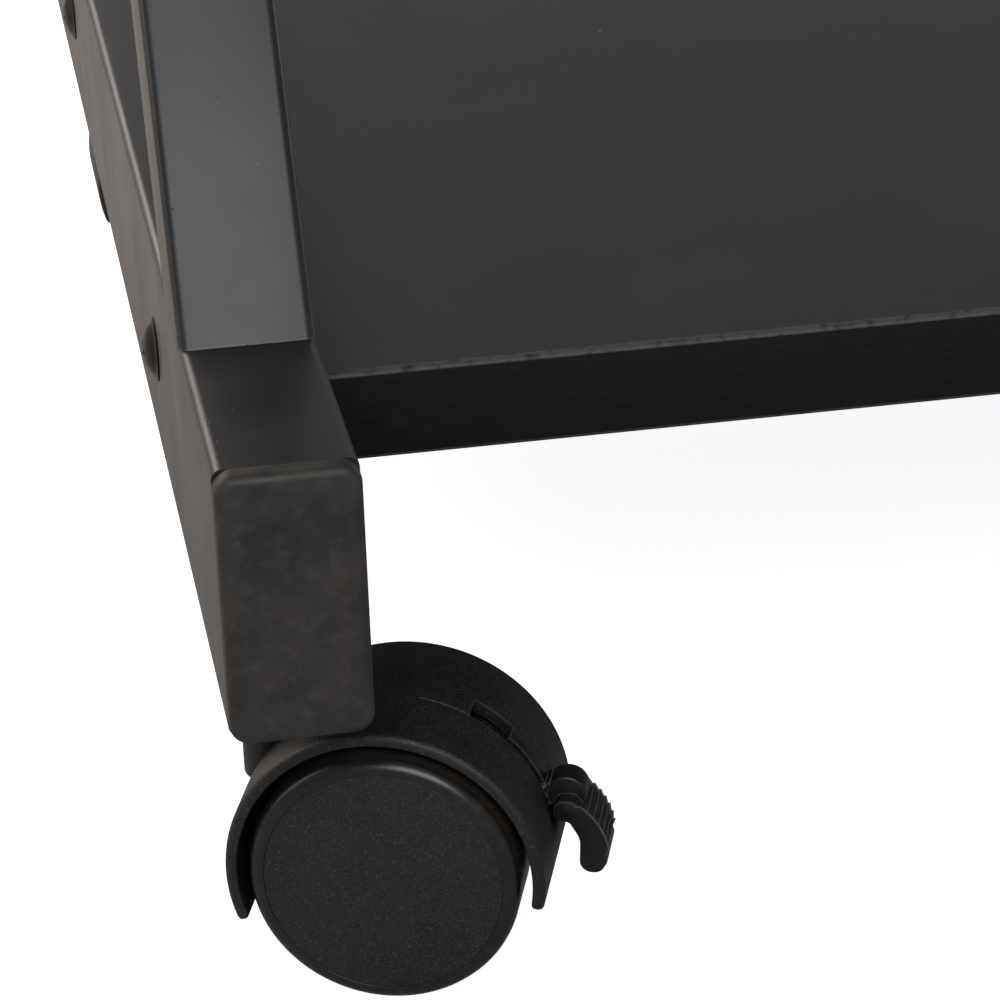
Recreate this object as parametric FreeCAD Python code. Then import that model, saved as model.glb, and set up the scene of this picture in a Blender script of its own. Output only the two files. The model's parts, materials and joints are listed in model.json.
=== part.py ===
import FreeCAD, Part
import math
import os
from FreeCAD import Rotation, Vector

# Rolling utility cart: two Z-shaped steel side frames carry three boards and stand on four
# twin-wheel casters. Millimetres, +Z up, front towards -Y. The origin is on the floor, under
# the middle of the cart.

os.makedirs("parts", exist_ok=True)
X = Vector(1, 0, 0)
Y = Vector(0, 1, 0)
Z = Vector(0, 0, 1)

# ---- driving dimensions of the frame ------------------------------------------------------
WIDTH = 600.0           # over the outer faces of the side frames
DEPTH = 480.0           # over the end caps
HEIGHT = 640.0
TUBE = 25.0             # width of every frame tube
RAIL_HEIGHT = 50.0      # the base rails are 25 x 50 tube
WALL = 1.5
TUBE_CORNER = 2.0       # outer corner radius of the tubes
CAP_FLANGE = 4.5        # thickness of an end cap outside its tube
POST_SETBACK = 54.0     # rail end to the foot of the leaning post
BAR = 20.0              # tube under the middle board
BAR_LENGTH = 300.0
CASTER_HEIGHT = 66.0    # floor to the underside of the base rail

# ---- driving dimensions of the boards -----------------------------------------------------
BOARD = 18.0
BAND = 2.0              # edge band
TOP_OVERHANG = 5.0
BOARD_GAP = 0.1         # board to tube, each side
BOTTOM_DROP = 16.2      # top of the base rail down to the top of the bottom board
BOTTOM_FRONT = 75.5     # rail end back to the front edge of the bottom board
BOTTOM_DEPTH = 330.0
MIDDLE_DEPTH = 310.0
TOP_SCREW_Y = 120.0
MIDDLE_SCREW_Y = 115.0
SIDE_SCREW_INSET = 44.5  # board edge to the screws through the base rail

# ---- driving dimensions of the screws -----------------------------------------------------
SHANK_R = 2.5
CLEARANCE_R = 2.75
HEAD_R = 6.5
HEAD_HEIGHT = 2.8
BOLT_R = 3.0
BOLT_GRIP = 18.0        # how far a cross bar bolt reaches beyond the tube wall it holds
INSERT_DEPTH = 22.0     # threaded block in each end of the cross bar

# ---- driving dimensions of a caster; angles are polar, about the axle ---------------------
WHEEL_R = 25.0
TRAIL = 22.0            # stem axis to axle, level
STEM_SETBACK = 41.0     # rail end to the stem
STEM_R = 4.0
RUNNING = 0.05          # radial clearance of every running fit
AXLE_R = 3.0
AXLE_HALF = 16.2
WEB = 2.5               # half the thickness of the web between the wheels
WHEEL_IN = 3.4          # inner face of a wheel, from the middle plane
WHEEL_OUT = 20.5        # outer face of a wheel
HUB_R = 6.5
RIM_R = 21.2            # inside of the wheel's rim
DISC_IN = 15.6
DISC_OUT = 18.4
BORE_END = 16.8         # the wheel's bore is blind
COVER_R = 22.0
HOOD_R = 29.5
HOOD_INNER = 27.2
HOOD_HALF = 19.3        # half the length of the hood along the axle
HOOD_FRONT = -10.3      # angle of the hood's trailing edge
HOOD_BACK = 200.8       # angle of its leading edge
BOSS_R = 7.0
BOSS_TOP = 37.0         # above the axle
STEM_BORE_BOTTOM = 23.5  # above the axle
LOBE_R = 8.0            # web round the axle

# ---- driving dimensions of the toe lever and the room for it in the hood ------------------
LEVER_ANGLE = 19.4      # angle of the lever's hinge
LEVER_RADIUS = 28.3
LEVER_PIN_R = 1.1
LEVER_PIN_HALF = 5.5
LEVER_HALF = 5.8        # half the width of the pedal
TONGUE_HALF = 2.7
TONGUE_R = (25.0, 26.9)
TONGUE_END = 2.0        # the tongue reaches down to this angle
LINK_R = (27.3, 31.0)
LINK_SWEEP = 4.0        # degrees to each side of the hinge
EYE_R = 2.3
ARM_R = (29.35, 30.15)
ARM_HALF = 2.3
KNUCKLE = Vector(31.5, 0, 9.9)
KNUCKLE_R = 3.7
KNUCKLE_HALF = 2.8
CHEEK = Vector(31.4, 0, 8.0)  # lobe of the pedal below the knuckle
CHEEK_R = 2.2
RIB_TOP = Vector(34.3, 0, 8.9)
RIB_BEND = Vector(38.3, 0, 5.7)
RIB_END = Vector(39.2, 0, 0.5)
RIBS = 6
RIB_HEIGHT = 0.5
HOOK_BOTTOM = -4.6
SLOT = (44.0, 61.0)     # window in the hood
SLOT_HALF = 3.0
NOTCH = (11.0, 31.0)    # opening for the lever; the lip of the hood runs on below it
NOTCH_HALF = 3.1
EAR_R = 25.9            # lugs that hold the lever's pin
EAR_WIDTH = 3.1
CASTERS = {             # side in x, side in y, angle of the trail at rest, has a brake
    "front_left": (-1, -1, -18.5, True),
    "front_right": (1, -1, 198.5, True),
    "rear_left": (-1, 1, 0.0, False),
    "rear_right": (1, 1, 152.0, False),
}

# ---- worked out from the above ------------------------------------------------------------
HALF_W = WIDTH / 2
RAIL_LENGTH = DEPTH - 2 * CAP_FLANGE
RAIL_END = RAIL_LENGTH / 2
RAIL_TOP = CASTER_HEIGHT + RAIL_HEIGHT
TOP_RAIL_TOP = HEIGHT - BOARD
TOP_RAIL_BOTTOM = TOP_RAIL_TOP - TUBE
INNER_X = HALF_W - TUBE
MID_X = HALF_W - TUBE / 2
POST_RISE = TOP_RAIL_BOTTOM - RAIL_TOP
POST_SPAN = RAIL_LENGTH - 2 * POST_SETBACK
# The post touches both ends of POST_SPAN: POST_SPAN cos(lean) - POST_RISE sin(lean) = TUBE.
LEAN = math.acos(TUBE / math.hypot(POST_SPAN, POST_RISE)) - math.atan2(POST_RISE, POST_SPAN)
BOTTOM_Z = RAIL_TOP - BOTTOM_DROP - BOARD
BAR_TOP = RAIL_TOP + POST_RISE / 2
CROSS_BAR_Y = RAIL_END - POST_SETBACK + 4.0
BOLT_LENGTH = TUBE + BOLT_GRIP
SIDE_SCREW_LENGTH = TUBE + 38.0
SIDE_SCREW_Z = BOTTOM_Z + BOARD / 2
SIDE_SCREW_Y = [-RAIL_END + BOTTOM_FRONT + SIDE_SCREW_INSET,
                -RAIL_END + BOTTOM_FRONT + BOTTOM_DEPTH - SIDE_SCREW_INSET]
STEM_TOP = CASTER_HEIGHT + 17.0
HINGE_SWEEP = 6.0       # degrees covered by a lug to each side of the hinge


def export(name, shape):
    """Write one sub-part to parts/NAME.step."""
    shape.exportStep("parts/%s.step" % name)
    print(name, len(shape.Solids), "solid(s)", round(shape.Volume, 1), "mm3", shape.isValid())


def moved(shape, x=0.0, y=0.0, z=0.0):
    copy = shape.copy()
    copy.translate(Vector(x, y, z))
    return copy


def turned(shape, axis, degrees, centre=Vector(0, 0, 0)):
    copy = shape.copy()
    copy.rotate(centre, axis, degrees)
    return copy


def cylinder(radius, start, end):
    """Cylinder from point to point."""
    run = end.sub(start)
    return Part.makeCylinder(radius, run.Length, start, run)


def box(x0, x1, y0, y1, z0, z1):
    return Part.makeBox(x1 - x0, y1 - y0, z1 - z0, Vector(x0, y0, z0))


def long_edges(shape, direction):
    """Straight edges that run along a direction."""
    found = []
    for edge in shape.Edges:
        if edge.Curve.TypeId != "Part::GeomLine":
            continue
        tangent = edge.tangentAt(edge.FirstParameter)
        if abs(tangent.dot(direction)) > 0.999:
            found.append(edge)
    return found


def bar(width, length, height, corner):
    """Solid bar along +Y from the origin, x and z from 0, its long edges rounded."""
    blank = Part.makeBox(width, length, height)
    return blank.makeFillet(corner, long_edges(blank, Y))


def tube(width, length, height, wall=WALL):
    """Hollow bar along +Y, open at both ends."""
    bore = bar(width - 2 * wall, length + 2, height - 2 * wall, TUBE_CORNER - wall + 0.2)
    return bar(width, length, height, TUBE_CORNER).cut(moved(bore, wall, -1, wall))


def left_and_right(make):
    """A left-hand shape and its mirror image on the right."""
    left = make()
    return {"left": left, "right": left.mirror(Vector(0, 0, 0), X)}


def four_corners(front_left):
    """A front left piece and its three mirror images."""
    rear_left = front_left.mirror(Vector(0, 0, 0), Y)
    placed = {"front_left": front_left, "rear_left": rear_left}
    placed["front_right"] = front_left.mirror(Vector(0, 0, 0), X)
    placed["rear_right"] = rear_left.mirror(Vector(0, 0, 0), X)
    return placed


# ---- screws -------------------------------------------------------------------------------
def truss_screw(length, shank_r=SHANK_R, head_r=HEAD_R, head_height=HEAD_HEIGHT):
    """Domed cross-recess screw along +Z: the head's underside at 0, the shank above it."""
    ball_r = (head_r ** 2 + head_height ** 2) / (2 * head_height)
    ball = Part.makeSphere(ball_r, Vector(0, 0, ball_r - head_height))
    head = ball.common(box(-head_r, head_r, -head_r, head_r, -head_height, 0))
    for angle in (0, 90):
        arm = box(-head_r * 0.42, head_r * 0.42, -0.55, 0.55, -head_height - 1, -head_height + 1.4)
        head = head.cut(turned(arm, Z, angle))
    shank = Part.makeCylinder(shank_r, length - shank_r).fuse(
        Part.makeCone(shank_r, 0.6, shank_r, Vector(0, 0, length - shank_r)))
    return head.fuse(shank).removeSplitter()


def pilot(length, radius):
    """Drill for a screw of this length along +Z, a little deeper than the screw."""
    return Part.makeCylinder(radius, length + 10.5, Vector(0, 0, -10))


def side_placed(shape, side, y, z):
    """Turn a +Z tool so that it enters the cart through a side face (side is -1 or 1)."""
    return moved(turned(shape, Y, -90 * side), side * HALF_W, y, z)


def side_tools(tool):
    return [side_placed(tool, side, y, SIDE_SCREW_Z) for side in (-1, 1) for y in SIDE_SCREW_Y]


# ---- frame --------------------------------------------------------------------------------
def base_rail():
    rail = moved(tube(TUBE, RAIL_LENGTH, RAIL_HEIGHT), -HALF_W, -RAIL_END, CASTER_HEIGHT)
    for y in SIDE_SCREW_Y:
        drill = cylinder(CLEARANCE_R, Vector(-HALF_W - 1, y, SIDE_SCREW_Z),
                         Vector(-INNER_X + 1, y, SIDE_SCREW_Z))
        rail = rail.cut(drill)
    for end in (-1, 1):
        y = end * (RAIL_END - STEM_SETBACK)
        rail = rail.cut(cylinder(STEM_R + 0.2, Vector(-MID_X, y, CASTER_HEIGHT - 1),
                                 Vector(-MID_X, y, CASTER_HEIGHT + WALL + 1)))
    return rail


def post():
    """Square tube that leans back from the front of the base rail to the rear of the top rail."""
    spare = 40.0
    length = POST_RISE / math.cos(LEAN) + 2 * spare
    leaning = turned(moved(tube(TUBE, length, TUBE), 0, -spare, -TUBE), X, 90 - math.degrees(LEAN))
    leaning = moved(leaning, -HALF_W, -RAIL_END + POST_SETBACK, RAIL_TOP)
    slab = box(-HALF_W - 1, -INNER_X + 1, -DEPTH, DEPTH, RAIL_TOP, TOP_RAIL_BOTTOM)
    return leaning.common(slab)


def top_rail():
    rail = moved(tube(TUBE, RAIL_LENGTH, TUBE), -HALF_W, -RAIL_END, TOP_RAIL_BOTTOM)
    for y in (-TOP_SCREW_Y, TOP_SCREW_Y):
        rail = rail.cut(cylinder(CLEARANCE_R, Vector(-MID_X, y, TOP_RAIL_BOTTOM - 1),
                                 Vector(-MID_X, y, TOP_RAIL_TOP + 1)))
    centre = Vector(0, CROSS_BAR_Y + TUBE / 2, TOP_RAIL_BOTTOM + TUBE / 2)
    return rail.cut(cylinder(BOLT_R + 0.25, centre - X * (HALF_W + 1), centre - X * (INNER_X - 1)))


def shelf_bar():
    """Short tube welded to the inner face of the post; the middle board rests on it."""
    rest = moved(tube(BAR, BAR_LENGTH, BAR), -INNER_X, -BAR_LENGTH / 2, BAR_TOP - BAR)
    for y in (-MIDDLE_SCREW_Y, MIDDLE_SCREW_Y):
        rest = rest.cut(cylinder(CLEARANCE_R, Vector(-INNER_X + BAR / 2, y, BAR_TOP - BAR - 1),
                                 Vector(-INNER_X + BAR / 2, y, BAR_TOP + 1)))
    return rest


def cross_bar():
    return moved(turned(tube(TUBE, 2 * INNER_X, TUBE), Z, -90), -INNER_X, CROSS_BAR_Y + TUBE,
                 TOP_RAIL_BOTTOM)


def cross_bar_inserts():
    """Threaded block driven into each end of the cross bar."""
    inside = TUBE - 2 * WALL
    block = bar(inside, INSERT_DEPTH, inside, TUBE_CORNER - WALL + 0.2)
    block = moved(turned(block, Z, -90), -INNER_X, CROSS_BAR_Y + TUBE - WALL, TOP_RAIL_BOTTOM + WALL)
    centre = Vector(0, CROSS_BAR_Y + TUBE / 2, TOP_RAIL_BOTTOM + TUBE / 2)
    block = block.cut(cylinder(BOLT_R, centre - X * (INNER_X + 1),
                               centre - X * (HALF_W - BOLT_LENGTH - 1)))
    return Part.makeCompound([block, block.mirror(Vector(0, 0, 0), X)])


def end_cap(width, height, plug_depth=18.0, corner=3.5, edge=1.6, wall=WALL):
    """Moulded cap along -Y: a rounded flange in front of y = 0 and a hollow ribbed plug behind."""
    flange = Part.makeBox(width, CAP_FLANGE, height)
    flange = flange.makeFillet(corner, long_edges(flange, Y))
    outer_face = [e for e in flange.Edges if abs(e.CenterOfMass.y) < 1e-6 and e.BoundBox.YLength < 1e-6]
    flange = moved(flange.makeFillet(edge, outer_face), 0, -CAP_FLANGE, 0)
    plug_w = width - 2 * wall - 0.6
    plug_h = height - 2 * wall - 0.6
    inset = wall + 0.3
    plug = moved(bar(plug_w, plug_depth, plug_h, 0.6), inset, 0, inset)
    hollow = box(inset + 1.8, width - inset - 1.8, 1.5, plug_depth + 1, inset + 1.8, height - inset - 1.8)
    cap = flange.fuse(plug.cut(hollow))
    for n in (1, 2, 3):
        rib = Part.makeBox(width - 2 * wall, 1.0, plug_h - 1.2,
                           Vector(wall, plug_depth * n / 4, inset + 0.6))
        cap = cap.fuse(rib.cut(hollow))
    return cap.removeSplitter()


# ---- boards -------------------------------------------------------------------------------
def board(half_x, y0, y1, z0, thickness, drills):
    """Board core and its four edge-band strips, both drilled."""
    core = box(-half_x + BAND, half_x - BAND, y0 + BAND, y1 - BAND, z0, z0 + thickness)
    strips = [box(-half_x, half_x, y0, y0 + BAND, z0, z0 + thickness),
              box(-half_x, half_x, y1 - BAND, y1, z0, z0 + thickness),
              box(-half_x, -half_x + BAND, y0 + BAND, y1 - BAND, z0, z0 + thickness),
              box(half_x - BAND, half_x, y0 + BAND, y1 - BAND, z0, z0 + thickness)]
    for drill in drills:
        core = core.cut(drill)
        strips = [strip.cut(drill) for strip in strips]
    return core, Part.makeCompound(strips)


def vertical_screws(tool, half_x, half_y, z):
    return [moved(tool, x, y, z) for x in (-half_x, half_x) for y in (-half_y, half_y)]


# ---- caster, built about the axle: +X trails, +Y along the axle, +Z up --------------------
def polar(radius, degrees, y=0.0):
    angle = math.radians(degrees)
    return Vector(radius * math.cos(angle), y, radius * math.sin(angle))


def ring_sector(r0, r1, y0, y1, a0, a1):
    """Piece of a tube about the axle between two polar angles."""
    corners = [polar(r0, a1, y0), polar(r1, a1, y0), polar(r1, a1, y1), polar(r0, a1, y1)]
    face = Part.Face(Part.makePolygon(corners + corners[:1]))
    return face.revolve(Vector(0, 0, 0), Y, a1 - a0)


def spun(profile):
    """Solid of revolution about the axle from (radius, y) corners."""
    corners = [Vector(r, y, 0) for r, y in profile]
    face = Part.Face(Part.makePolygon(corners + corners[:1]))
    return face.revolve(Vector(0, 0, 0), Y, 360)


def circles_at(shape, radius, y):
    """Whole circular edges about the axle."""
    return [e for e in shape.Edges if e.Curve.TypeId == "Part::GeomCircle"
            and abs(e.Curve.Radius - radius) < 1e-6 and abs(e.Curve.Center.y - y) < 1e-6]


def wheel():
    """Cup-shaped wheel: tread, disc and hub in one moulding, open towards the web."""
    bore = AXLE_R + RUNNING
    blank = spun([(bore, WHEEL_IN), (HUB_R, WHEEL_IN), (HUB_R, DISC_IN), (RIM_R, DISC_IN),
                  (RIM_R, WHEEL_IN), (WHEEL_R, WHEEL_IN), (WHEEL_R, WHEEL_OUT),
                  (COVER_R, WHEEL_OUT), (COVER_R, DISC_OUT), (0, DISC_OUT), (0, BORE_END),
                  (bore, BORE_END)])
    blank = blank.makeFillet(2.2, circles_at(blank, WHEEL_R, WHEEL_OUT))
    return blank.makeFillet(1.0, circles_at(blank, WHEEL_R, WHEEL_IN))


def wheel_cover():
    """Flat disc snapped into the outer face of the wheel, its rim eased."""
    face = WHEEL_OUT - 0.15
    return spun([(0, DISC_OUT), (COVER_R, DISC_OUT), (COVER_R, face - 0.5),
                 (COVER_R - 0.5, face), (0, face)])


def axle():
    return cylinder(AXLE_R, Vector(0, -AXLE_HALF, 0), Vector(0, AXLE_HALF, 0))


def lever_pin(half=LEVER_PIN_HALF, radius=LEVER_PIN_R):
    hinge = polar(LEVER_RADIUS, LEVER_ANGLE)
    return cylinder(radius, hinge - Y * half, hinge + Y * half)


def hood(braked):
    """Arched shell over both wheels, with the web that holds the axle and the stem boss."""
    shell = ring_sector(HOOD_INNER, HOOD_R, -HOOD_HALF, HOOD_HALF, HOOD_FRONT, HOOD_BACK)
    tips = long_edges(shell, Y)
    shell = shell.makeFillet(1.05, tips)
    rims = [e for e in shell.Edges if e.Curve.TypeId == "Part::GeomCircle"
            and abs(e.Curve.Radius - HOOD_R) < 1e-6 and e.BoundBox.YLength < 1e-6]
    shell = shell.makeFillet(0.9, rims)
    web = spun([(0, -WEB), (HOOD_INNER + 0.5, -WEB), (HOOD_INNER + 0.5, WEB), (0, WEB)])
    web = web.cut(box(-40, 40, -5, 5, -40, -3.5))
    web = web.fuse(spun([(0, -WEB), (LOBE_R, -WEB), (LOBE_R, WEB), (0, WEB)]))
    boss = cylinder(BOSS_R, Vector(-TRAIL, 0, 8), Vector(-TRAIL, 0, BOSS_TOP))
    boss = boss.makeFillet(0.8, [e for e in boss.Edges if abs(e.CenterOfMass.z - BOSS_TOP) < 1e-6])
    boss = boss.cut(cylinder(HOOD_INNER + 0.4, Vector(0, -20, 0), Vector(0, 20, 0)))
    body = shell.fuse(web).fuse(boss)
    body = body.cut(cylinder(STEM_R + RUNNING, Vector(-TRAIL, 0, STEM_BORE_BOTTOM),
                             Vector(-TRAIL, 0, BOSS_TOP + 1)))
    body = body.cut(cylinder(AXLE_R, Vector(0, -10, 0), Vector(0, 10, 0)))
    if not braked:
        return body.removeSplitter()
    for y in (-NOTCH_HALF - EAR_WIDTH, NOTCH_HALF):
        body = body.fuse(ring_sector(EAR_R, HOOD_INNER + 0.5, y, y + EAR_WIDTH,
                                     LEVER_ANGLE - HINGE_SWEEP, LEVER_ANGLE + HINGE_SWEEP))
    outside = HOOD_R + 1.5
    room = [ring_sector(19.0, outside, -SLOT_HALF, SLOT_HALF, SLOT[0], SLOT[1]),
            ring_sector(22.0, HOOD_INNER, -NOTCH_HALF, NOTCH_HALF, HOOD_FRONT - 4, NOTCH[1]),
            ring_sector(22.0, outside, -NOTCH_HALF, NOTCH_HALF, NOTCH[0], NOTCH[1]),
            ring_sector(HOOD_R - 0.5, outside, -TONGUE_HALF, TONGUE_HALF, NOTCH[1] - 1, SLOT[0] + 1),
            lever_pin(LEVER_PIN_HALF + 0.1)]
    for cut in room:
        body = body.cut(cut)
    return body.removeSplitter()


def rib_line(share):
    """Point of the bent line on which the ribs stand."""
    rest = 1.0 - share
    return RIB_TOP * rest ** 2 + RIB_BEND * (2 * share * rest) + RIB_END * share ** 2


def rib_corners():
    """Saw-tooth outline of the ribs: each rises slowly and drops steeply."""
    corners = []
    for n in range(RIBS):
        start = rib_line(n / RIBS)
        step = rib_line((n + 1) / RIBS).sub(start)
        outward = Vector(-step.z, 0, step.x).normalize() * -RIB_HEIGHT
        corners.append(start)
        corners.append(start + step * 0.72 + outward)
        corners.append(start + step * 0.86 + outward * 0.9)
    return corners + [RIB_END]


def brake_lever():
    """Toe pedal with a ribbed back, its knuckle, hinge eye, thin release arm and brake tongue."""
    nose = Part.Arc(RIB_END, Vector(39.5, 0, -1.4), Vector(38.6, 0, -3.3)).toShape()
    tip = Part.Arc(Vector(38.6, 0, -3.3), Vector(36.3, 0, HOOK_BOTTOM), Vector(33.95, 0, -2.6)).toShape()
    inside = Part.Arc(Vector(33.95, 0, -2.6), Vector(33.75, 0, 2.0), Vector(31.6, 0, 5.81)).toShape()
    ribs = Part.makePolygon(rib_corners()).Edges
    back = Part.makePolygon([Vector(31.6, 0, 5.81), CHEEK, RIB_TOP]).Edges
    side_view = Part.Face(Part.Wire(ribs + [nose, tip, inside] + back))
    pedal = moved(side_view, 0, -LEVER_HALF, 0).extrude(Y * (2 * LEVER_HALF))
    cheek = cylinder(CHEEK_R, CHEEK - Y * LEVER_HALF, CHEEK + Y * LEVER_HALF)
    knuckle = cylinder(KNUCKLE_R, KNUCKLE - Y * KNUCKLE_HALF, KNUCKLE + Y * KNUCKLE_HALF)
    hinge = polar(LEVER_RADIUS, LEVER_ANGLE)
    eye = cylinder(EYE_R, hinge - Y * TONGUE_HALF, hinge + Y * TONGUE_HALF)
    link = ring_sector(LINK_R[0], LINK_R[1], -TONGUE_HALF, TONGUE_HALF, LEVER_ANGLE - LINK_SWEEP,
                       LEVER_ANGLE + LINK_SWEEP)
    tongue = ring_sector(TONGUE_R[0], TONGUE_R[1], -TONGUE_HALF, TONGUE_HALF, TONGUE_END, LEVER_ANGLE)
    arm = ring_sector(ARM_R[0], ARM_R[1], -ARM_HALF, ARM_HALF, LEVER_ANGLE + LINK_SWEEP, SLOT[0] - 1)
    lever = pedal
    for more in (cheek, knuckle, link, eye, tongue, arm):
        lever = lever.fuse(more)
    return lever.cut(lever_pin(9.0, LEVER_PIN_R + RUNNING)).removeSplitter()


def hexagon(across_flats, z0, z1):
    corner = across_flats / math.sqrt(3)
    corners = [Vector(corner * math.cos(math.radians(60 * n)), corner * math.sin(math.radians(60 * n)), z0)
               for n in range(7)]
    return Part.Face(Part.makePolygon(corners)).extrude(Z * (z1 - z0))


def stem():
    """Swivel pin below, hexagon under the rail, threaded end above. Floor height, own axis."""
    boss_top = WHEEL_R + BOSS_TOP
    pin = Part.makeCylinder(STEM_R, boss_top + 0.4 - (WHEEL_R + STEM_BORE_BOTTOM + 0.5),
                            Vector(0, 0, WHEEL_R + STEM_BORE_BOTTOM + 0.5))
    thread = Part.makeCylinder(STEM_R, STEM_TOP - CASTER_HEIGHT, Vector(0, 0, CASTER_HEIGHT))
    return pin.fuse(hexagon(13.0, boss_top + 0.4, CASTER_HEIGHT)).fuse(thread).removeSplitter()


def stem_nut():
    z = CASTER_HEIGHT + WALL
    return hexagon(14.0, z, z + 10).cut(Part.makeCylinder(STEM_R, 20, Vector(0, 0, z - 5)))


def caster_placed(shape, corner):
    """Move a caster piece from its axle frame to a corner of the cart."""
    side_x, side_y, angle, _ = CASTERS[corner]
    return moved(turned(moved(shape, TRAIL, 0, WHEEL_R), Z, angle), *stem_place(side_x, side_y))


def stem_place(side_x, side_y):
    return side_x * MID_X, side_y * (RAIL_END - STEM_SETBACK), 0.0


# ---- export -------------------------------------------------------------------------------
print("lean", round(math.degrees(LEAN), 2))
for name, make in (("base_rail", base_rail), ("post", post), ("top_rail", top_rail),
                   ("shelf_bar", shelf_bar)):
    for hand, shape in left_and_right(make).items():
        export("%s_%s" % (name, hand), shape)
export("cross_bar", cross_bar())
export("cross_bar_inserts", cross_bar_inserts())

base_cap = moved(end_cap(TUBE, RAIL_HEIGHT), -HALF_W, -RAIL_END, CASTER_HEIGHT)
for place, cap in four_corners(base_cap).items():
    export("base_cap_" + place, cap)
top_cap = moved(end_cap(TUBE, TUBE), -HALF_W, -RAIL_END, TOP_RAIL_BOTTOM)
export("top_caps", Part.makeCompound(list(four_corners(top_cap).values())))
bar_cap = moved(end_cap(BAR, BAR, 12.0, 2.0, 0.8), -INNER_X, -BAR_LENGTH / 2, BAR_TOP - BAR)
export("shelf_bar_caps", Part.makeCompound(list(four_corners(bar_cap).values())))

bottom_y = -RAIL_END + BOTTOM_FRONT
boards = {
    "bottom": board(INNER_X - BOARD_GAP, bottom_y, bottom_y + BOTTOM_DEPTH, BOTTOM_Z, BOARD,
                    side_tools(pilot(SIDE_SCREW_LENGTH, SHANK_R))),
    "middle": board(INNER_X - BOARD_GAP, -MIDDLE_DEPTH / 2, MIDDLE_DEPTH / 2, BAR_TOP, BOARD,
                    vertical_screws(pilot(BAR + 12.0, SHANK_R), INNER_X - BAR / 2, MIDDLE_SCREW_Y,
                                    BAR_TOP - BAR)),
    "top": board(HALF_W + TOP_OVERHANG, -DEPTH / 2, DEPTH / 2, TOP_RAIL_TOP, BOARD,
                 vertical_screws(pilot(TUBE + 12.0, SHANK_R), MID_X, TOP_SCREW_Y, TOP_RAIL_BOTTOM)),
}
for name, (core, band) in boards.items():
    export(name + "_board", core)
    export(name + "_edge_band", band)

export("bottom_board_screws", Part.makeCompound(side_tools(truss_screw(SIDE_SCREW_LENGTH))))
export("middle_board_screws", Part.makeCompound(
    vertical_screws(truss_screw(BAR + 12.0), INNER_X - BAR / 2, MIDDLE_SCREW_Y, BAR_TOP - BAR)))
export("top_board_screws", Part.makeCompound(
    vertical_screws(truss_screw(TUBE + 12.0), MID_X, TOP_SCREW_Y, TOP_RAIL_BOTTOM)))
cross_bolt = truss_screw(BOLT_LENGTH, BOLT_R)
export("cross_bar_bolts", Part.makeCompound(
    [side_placed(cross_bolt, side, CROSS_BAR_Y + TUBE / 2, TOP_RAIL_BOTTOM + TUBE / 2)
     for side in (-1, 1)]))
export("stem_nuts", Part.makeCompound(
    [moved(stem_nut(), *stem_place(c[0], c[1])) for c in CASTERS.values()]))

for corner, (side_x, side_y, angle, braked) in CASTERS.items():
    export(corner + "_stem", moved(stem(), *stem_place(side_x, side_y)))
    export(corner + "_hood", caster_placed(hood(braked), corner))
    export(corner + "_axle", caster_placed(axle(), corner))
    for letter, flip in (("a", 180), ("b", 0)):
        export("%s_wheel_%s" % (corner, letter), caster_placed(turned(wheel(), Z, flip), corner))
        export("%s_cover_%s" % (corner, letter), caster_placed(turned(wheel_cover(), Z, flip), corner))
    if braked:
        export(corner + "_lever", caster_placed(brake_lever(), corner))
        export(corner + "_lever_pin", caster_placed(lever_pin(), corner))
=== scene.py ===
# %% [markdown]
# # A rolling utility cart
#
# The cart is a bolted and welded steel frame, three faced boards and four twin-wheel casters. The
# design, with every size, hinge and axle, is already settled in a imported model. This lesson dresses
# that model: it rebuilds each piece that shows as a clean mesh, with the rounded edges, seams and
# mouldings of the real one, and gives it the finish that its maker would give it.
#
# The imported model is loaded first, because every later place and size is read from it.

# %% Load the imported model
import json
import math

import bmesh
import bpy
from mathutils import Matrix, Vector

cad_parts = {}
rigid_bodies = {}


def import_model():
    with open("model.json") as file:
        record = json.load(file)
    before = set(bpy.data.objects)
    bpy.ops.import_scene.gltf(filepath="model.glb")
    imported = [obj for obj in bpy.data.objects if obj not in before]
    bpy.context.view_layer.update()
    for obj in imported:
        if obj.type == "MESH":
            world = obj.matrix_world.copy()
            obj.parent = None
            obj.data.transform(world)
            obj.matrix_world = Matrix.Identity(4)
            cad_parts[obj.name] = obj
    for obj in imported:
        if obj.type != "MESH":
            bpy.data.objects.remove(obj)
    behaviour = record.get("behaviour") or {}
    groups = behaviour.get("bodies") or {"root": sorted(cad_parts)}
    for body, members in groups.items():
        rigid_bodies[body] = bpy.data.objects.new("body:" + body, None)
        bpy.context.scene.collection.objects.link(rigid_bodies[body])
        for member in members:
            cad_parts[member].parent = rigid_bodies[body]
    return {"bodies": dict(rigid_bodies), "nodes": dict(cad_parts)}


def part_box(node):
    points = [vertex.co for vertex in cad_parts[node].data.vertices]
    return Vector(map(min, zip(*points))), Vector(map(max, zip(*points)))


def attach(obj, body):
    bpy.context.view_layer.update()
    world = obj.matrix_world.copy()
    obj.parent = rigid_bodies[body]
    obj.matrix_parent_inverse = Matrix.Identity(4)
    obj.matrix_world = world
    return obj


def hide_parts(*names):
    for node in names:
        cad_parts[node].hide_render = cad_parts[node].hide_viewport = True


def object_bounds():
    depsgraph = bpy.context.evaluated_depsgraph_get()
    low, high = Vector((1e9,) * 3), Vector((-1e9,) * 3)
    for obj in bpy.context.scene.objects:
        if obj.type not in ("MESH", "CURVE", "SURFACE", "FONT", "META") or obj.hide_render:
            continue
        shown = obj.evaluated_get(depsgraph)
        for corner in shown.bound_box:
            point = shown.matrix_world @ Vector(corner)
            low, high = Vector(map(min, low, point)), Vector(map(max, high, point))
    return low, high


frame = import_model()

design_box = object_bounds()
scene_objects = bpy.context.scene.collection.objects
mm = 0.001
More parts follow.
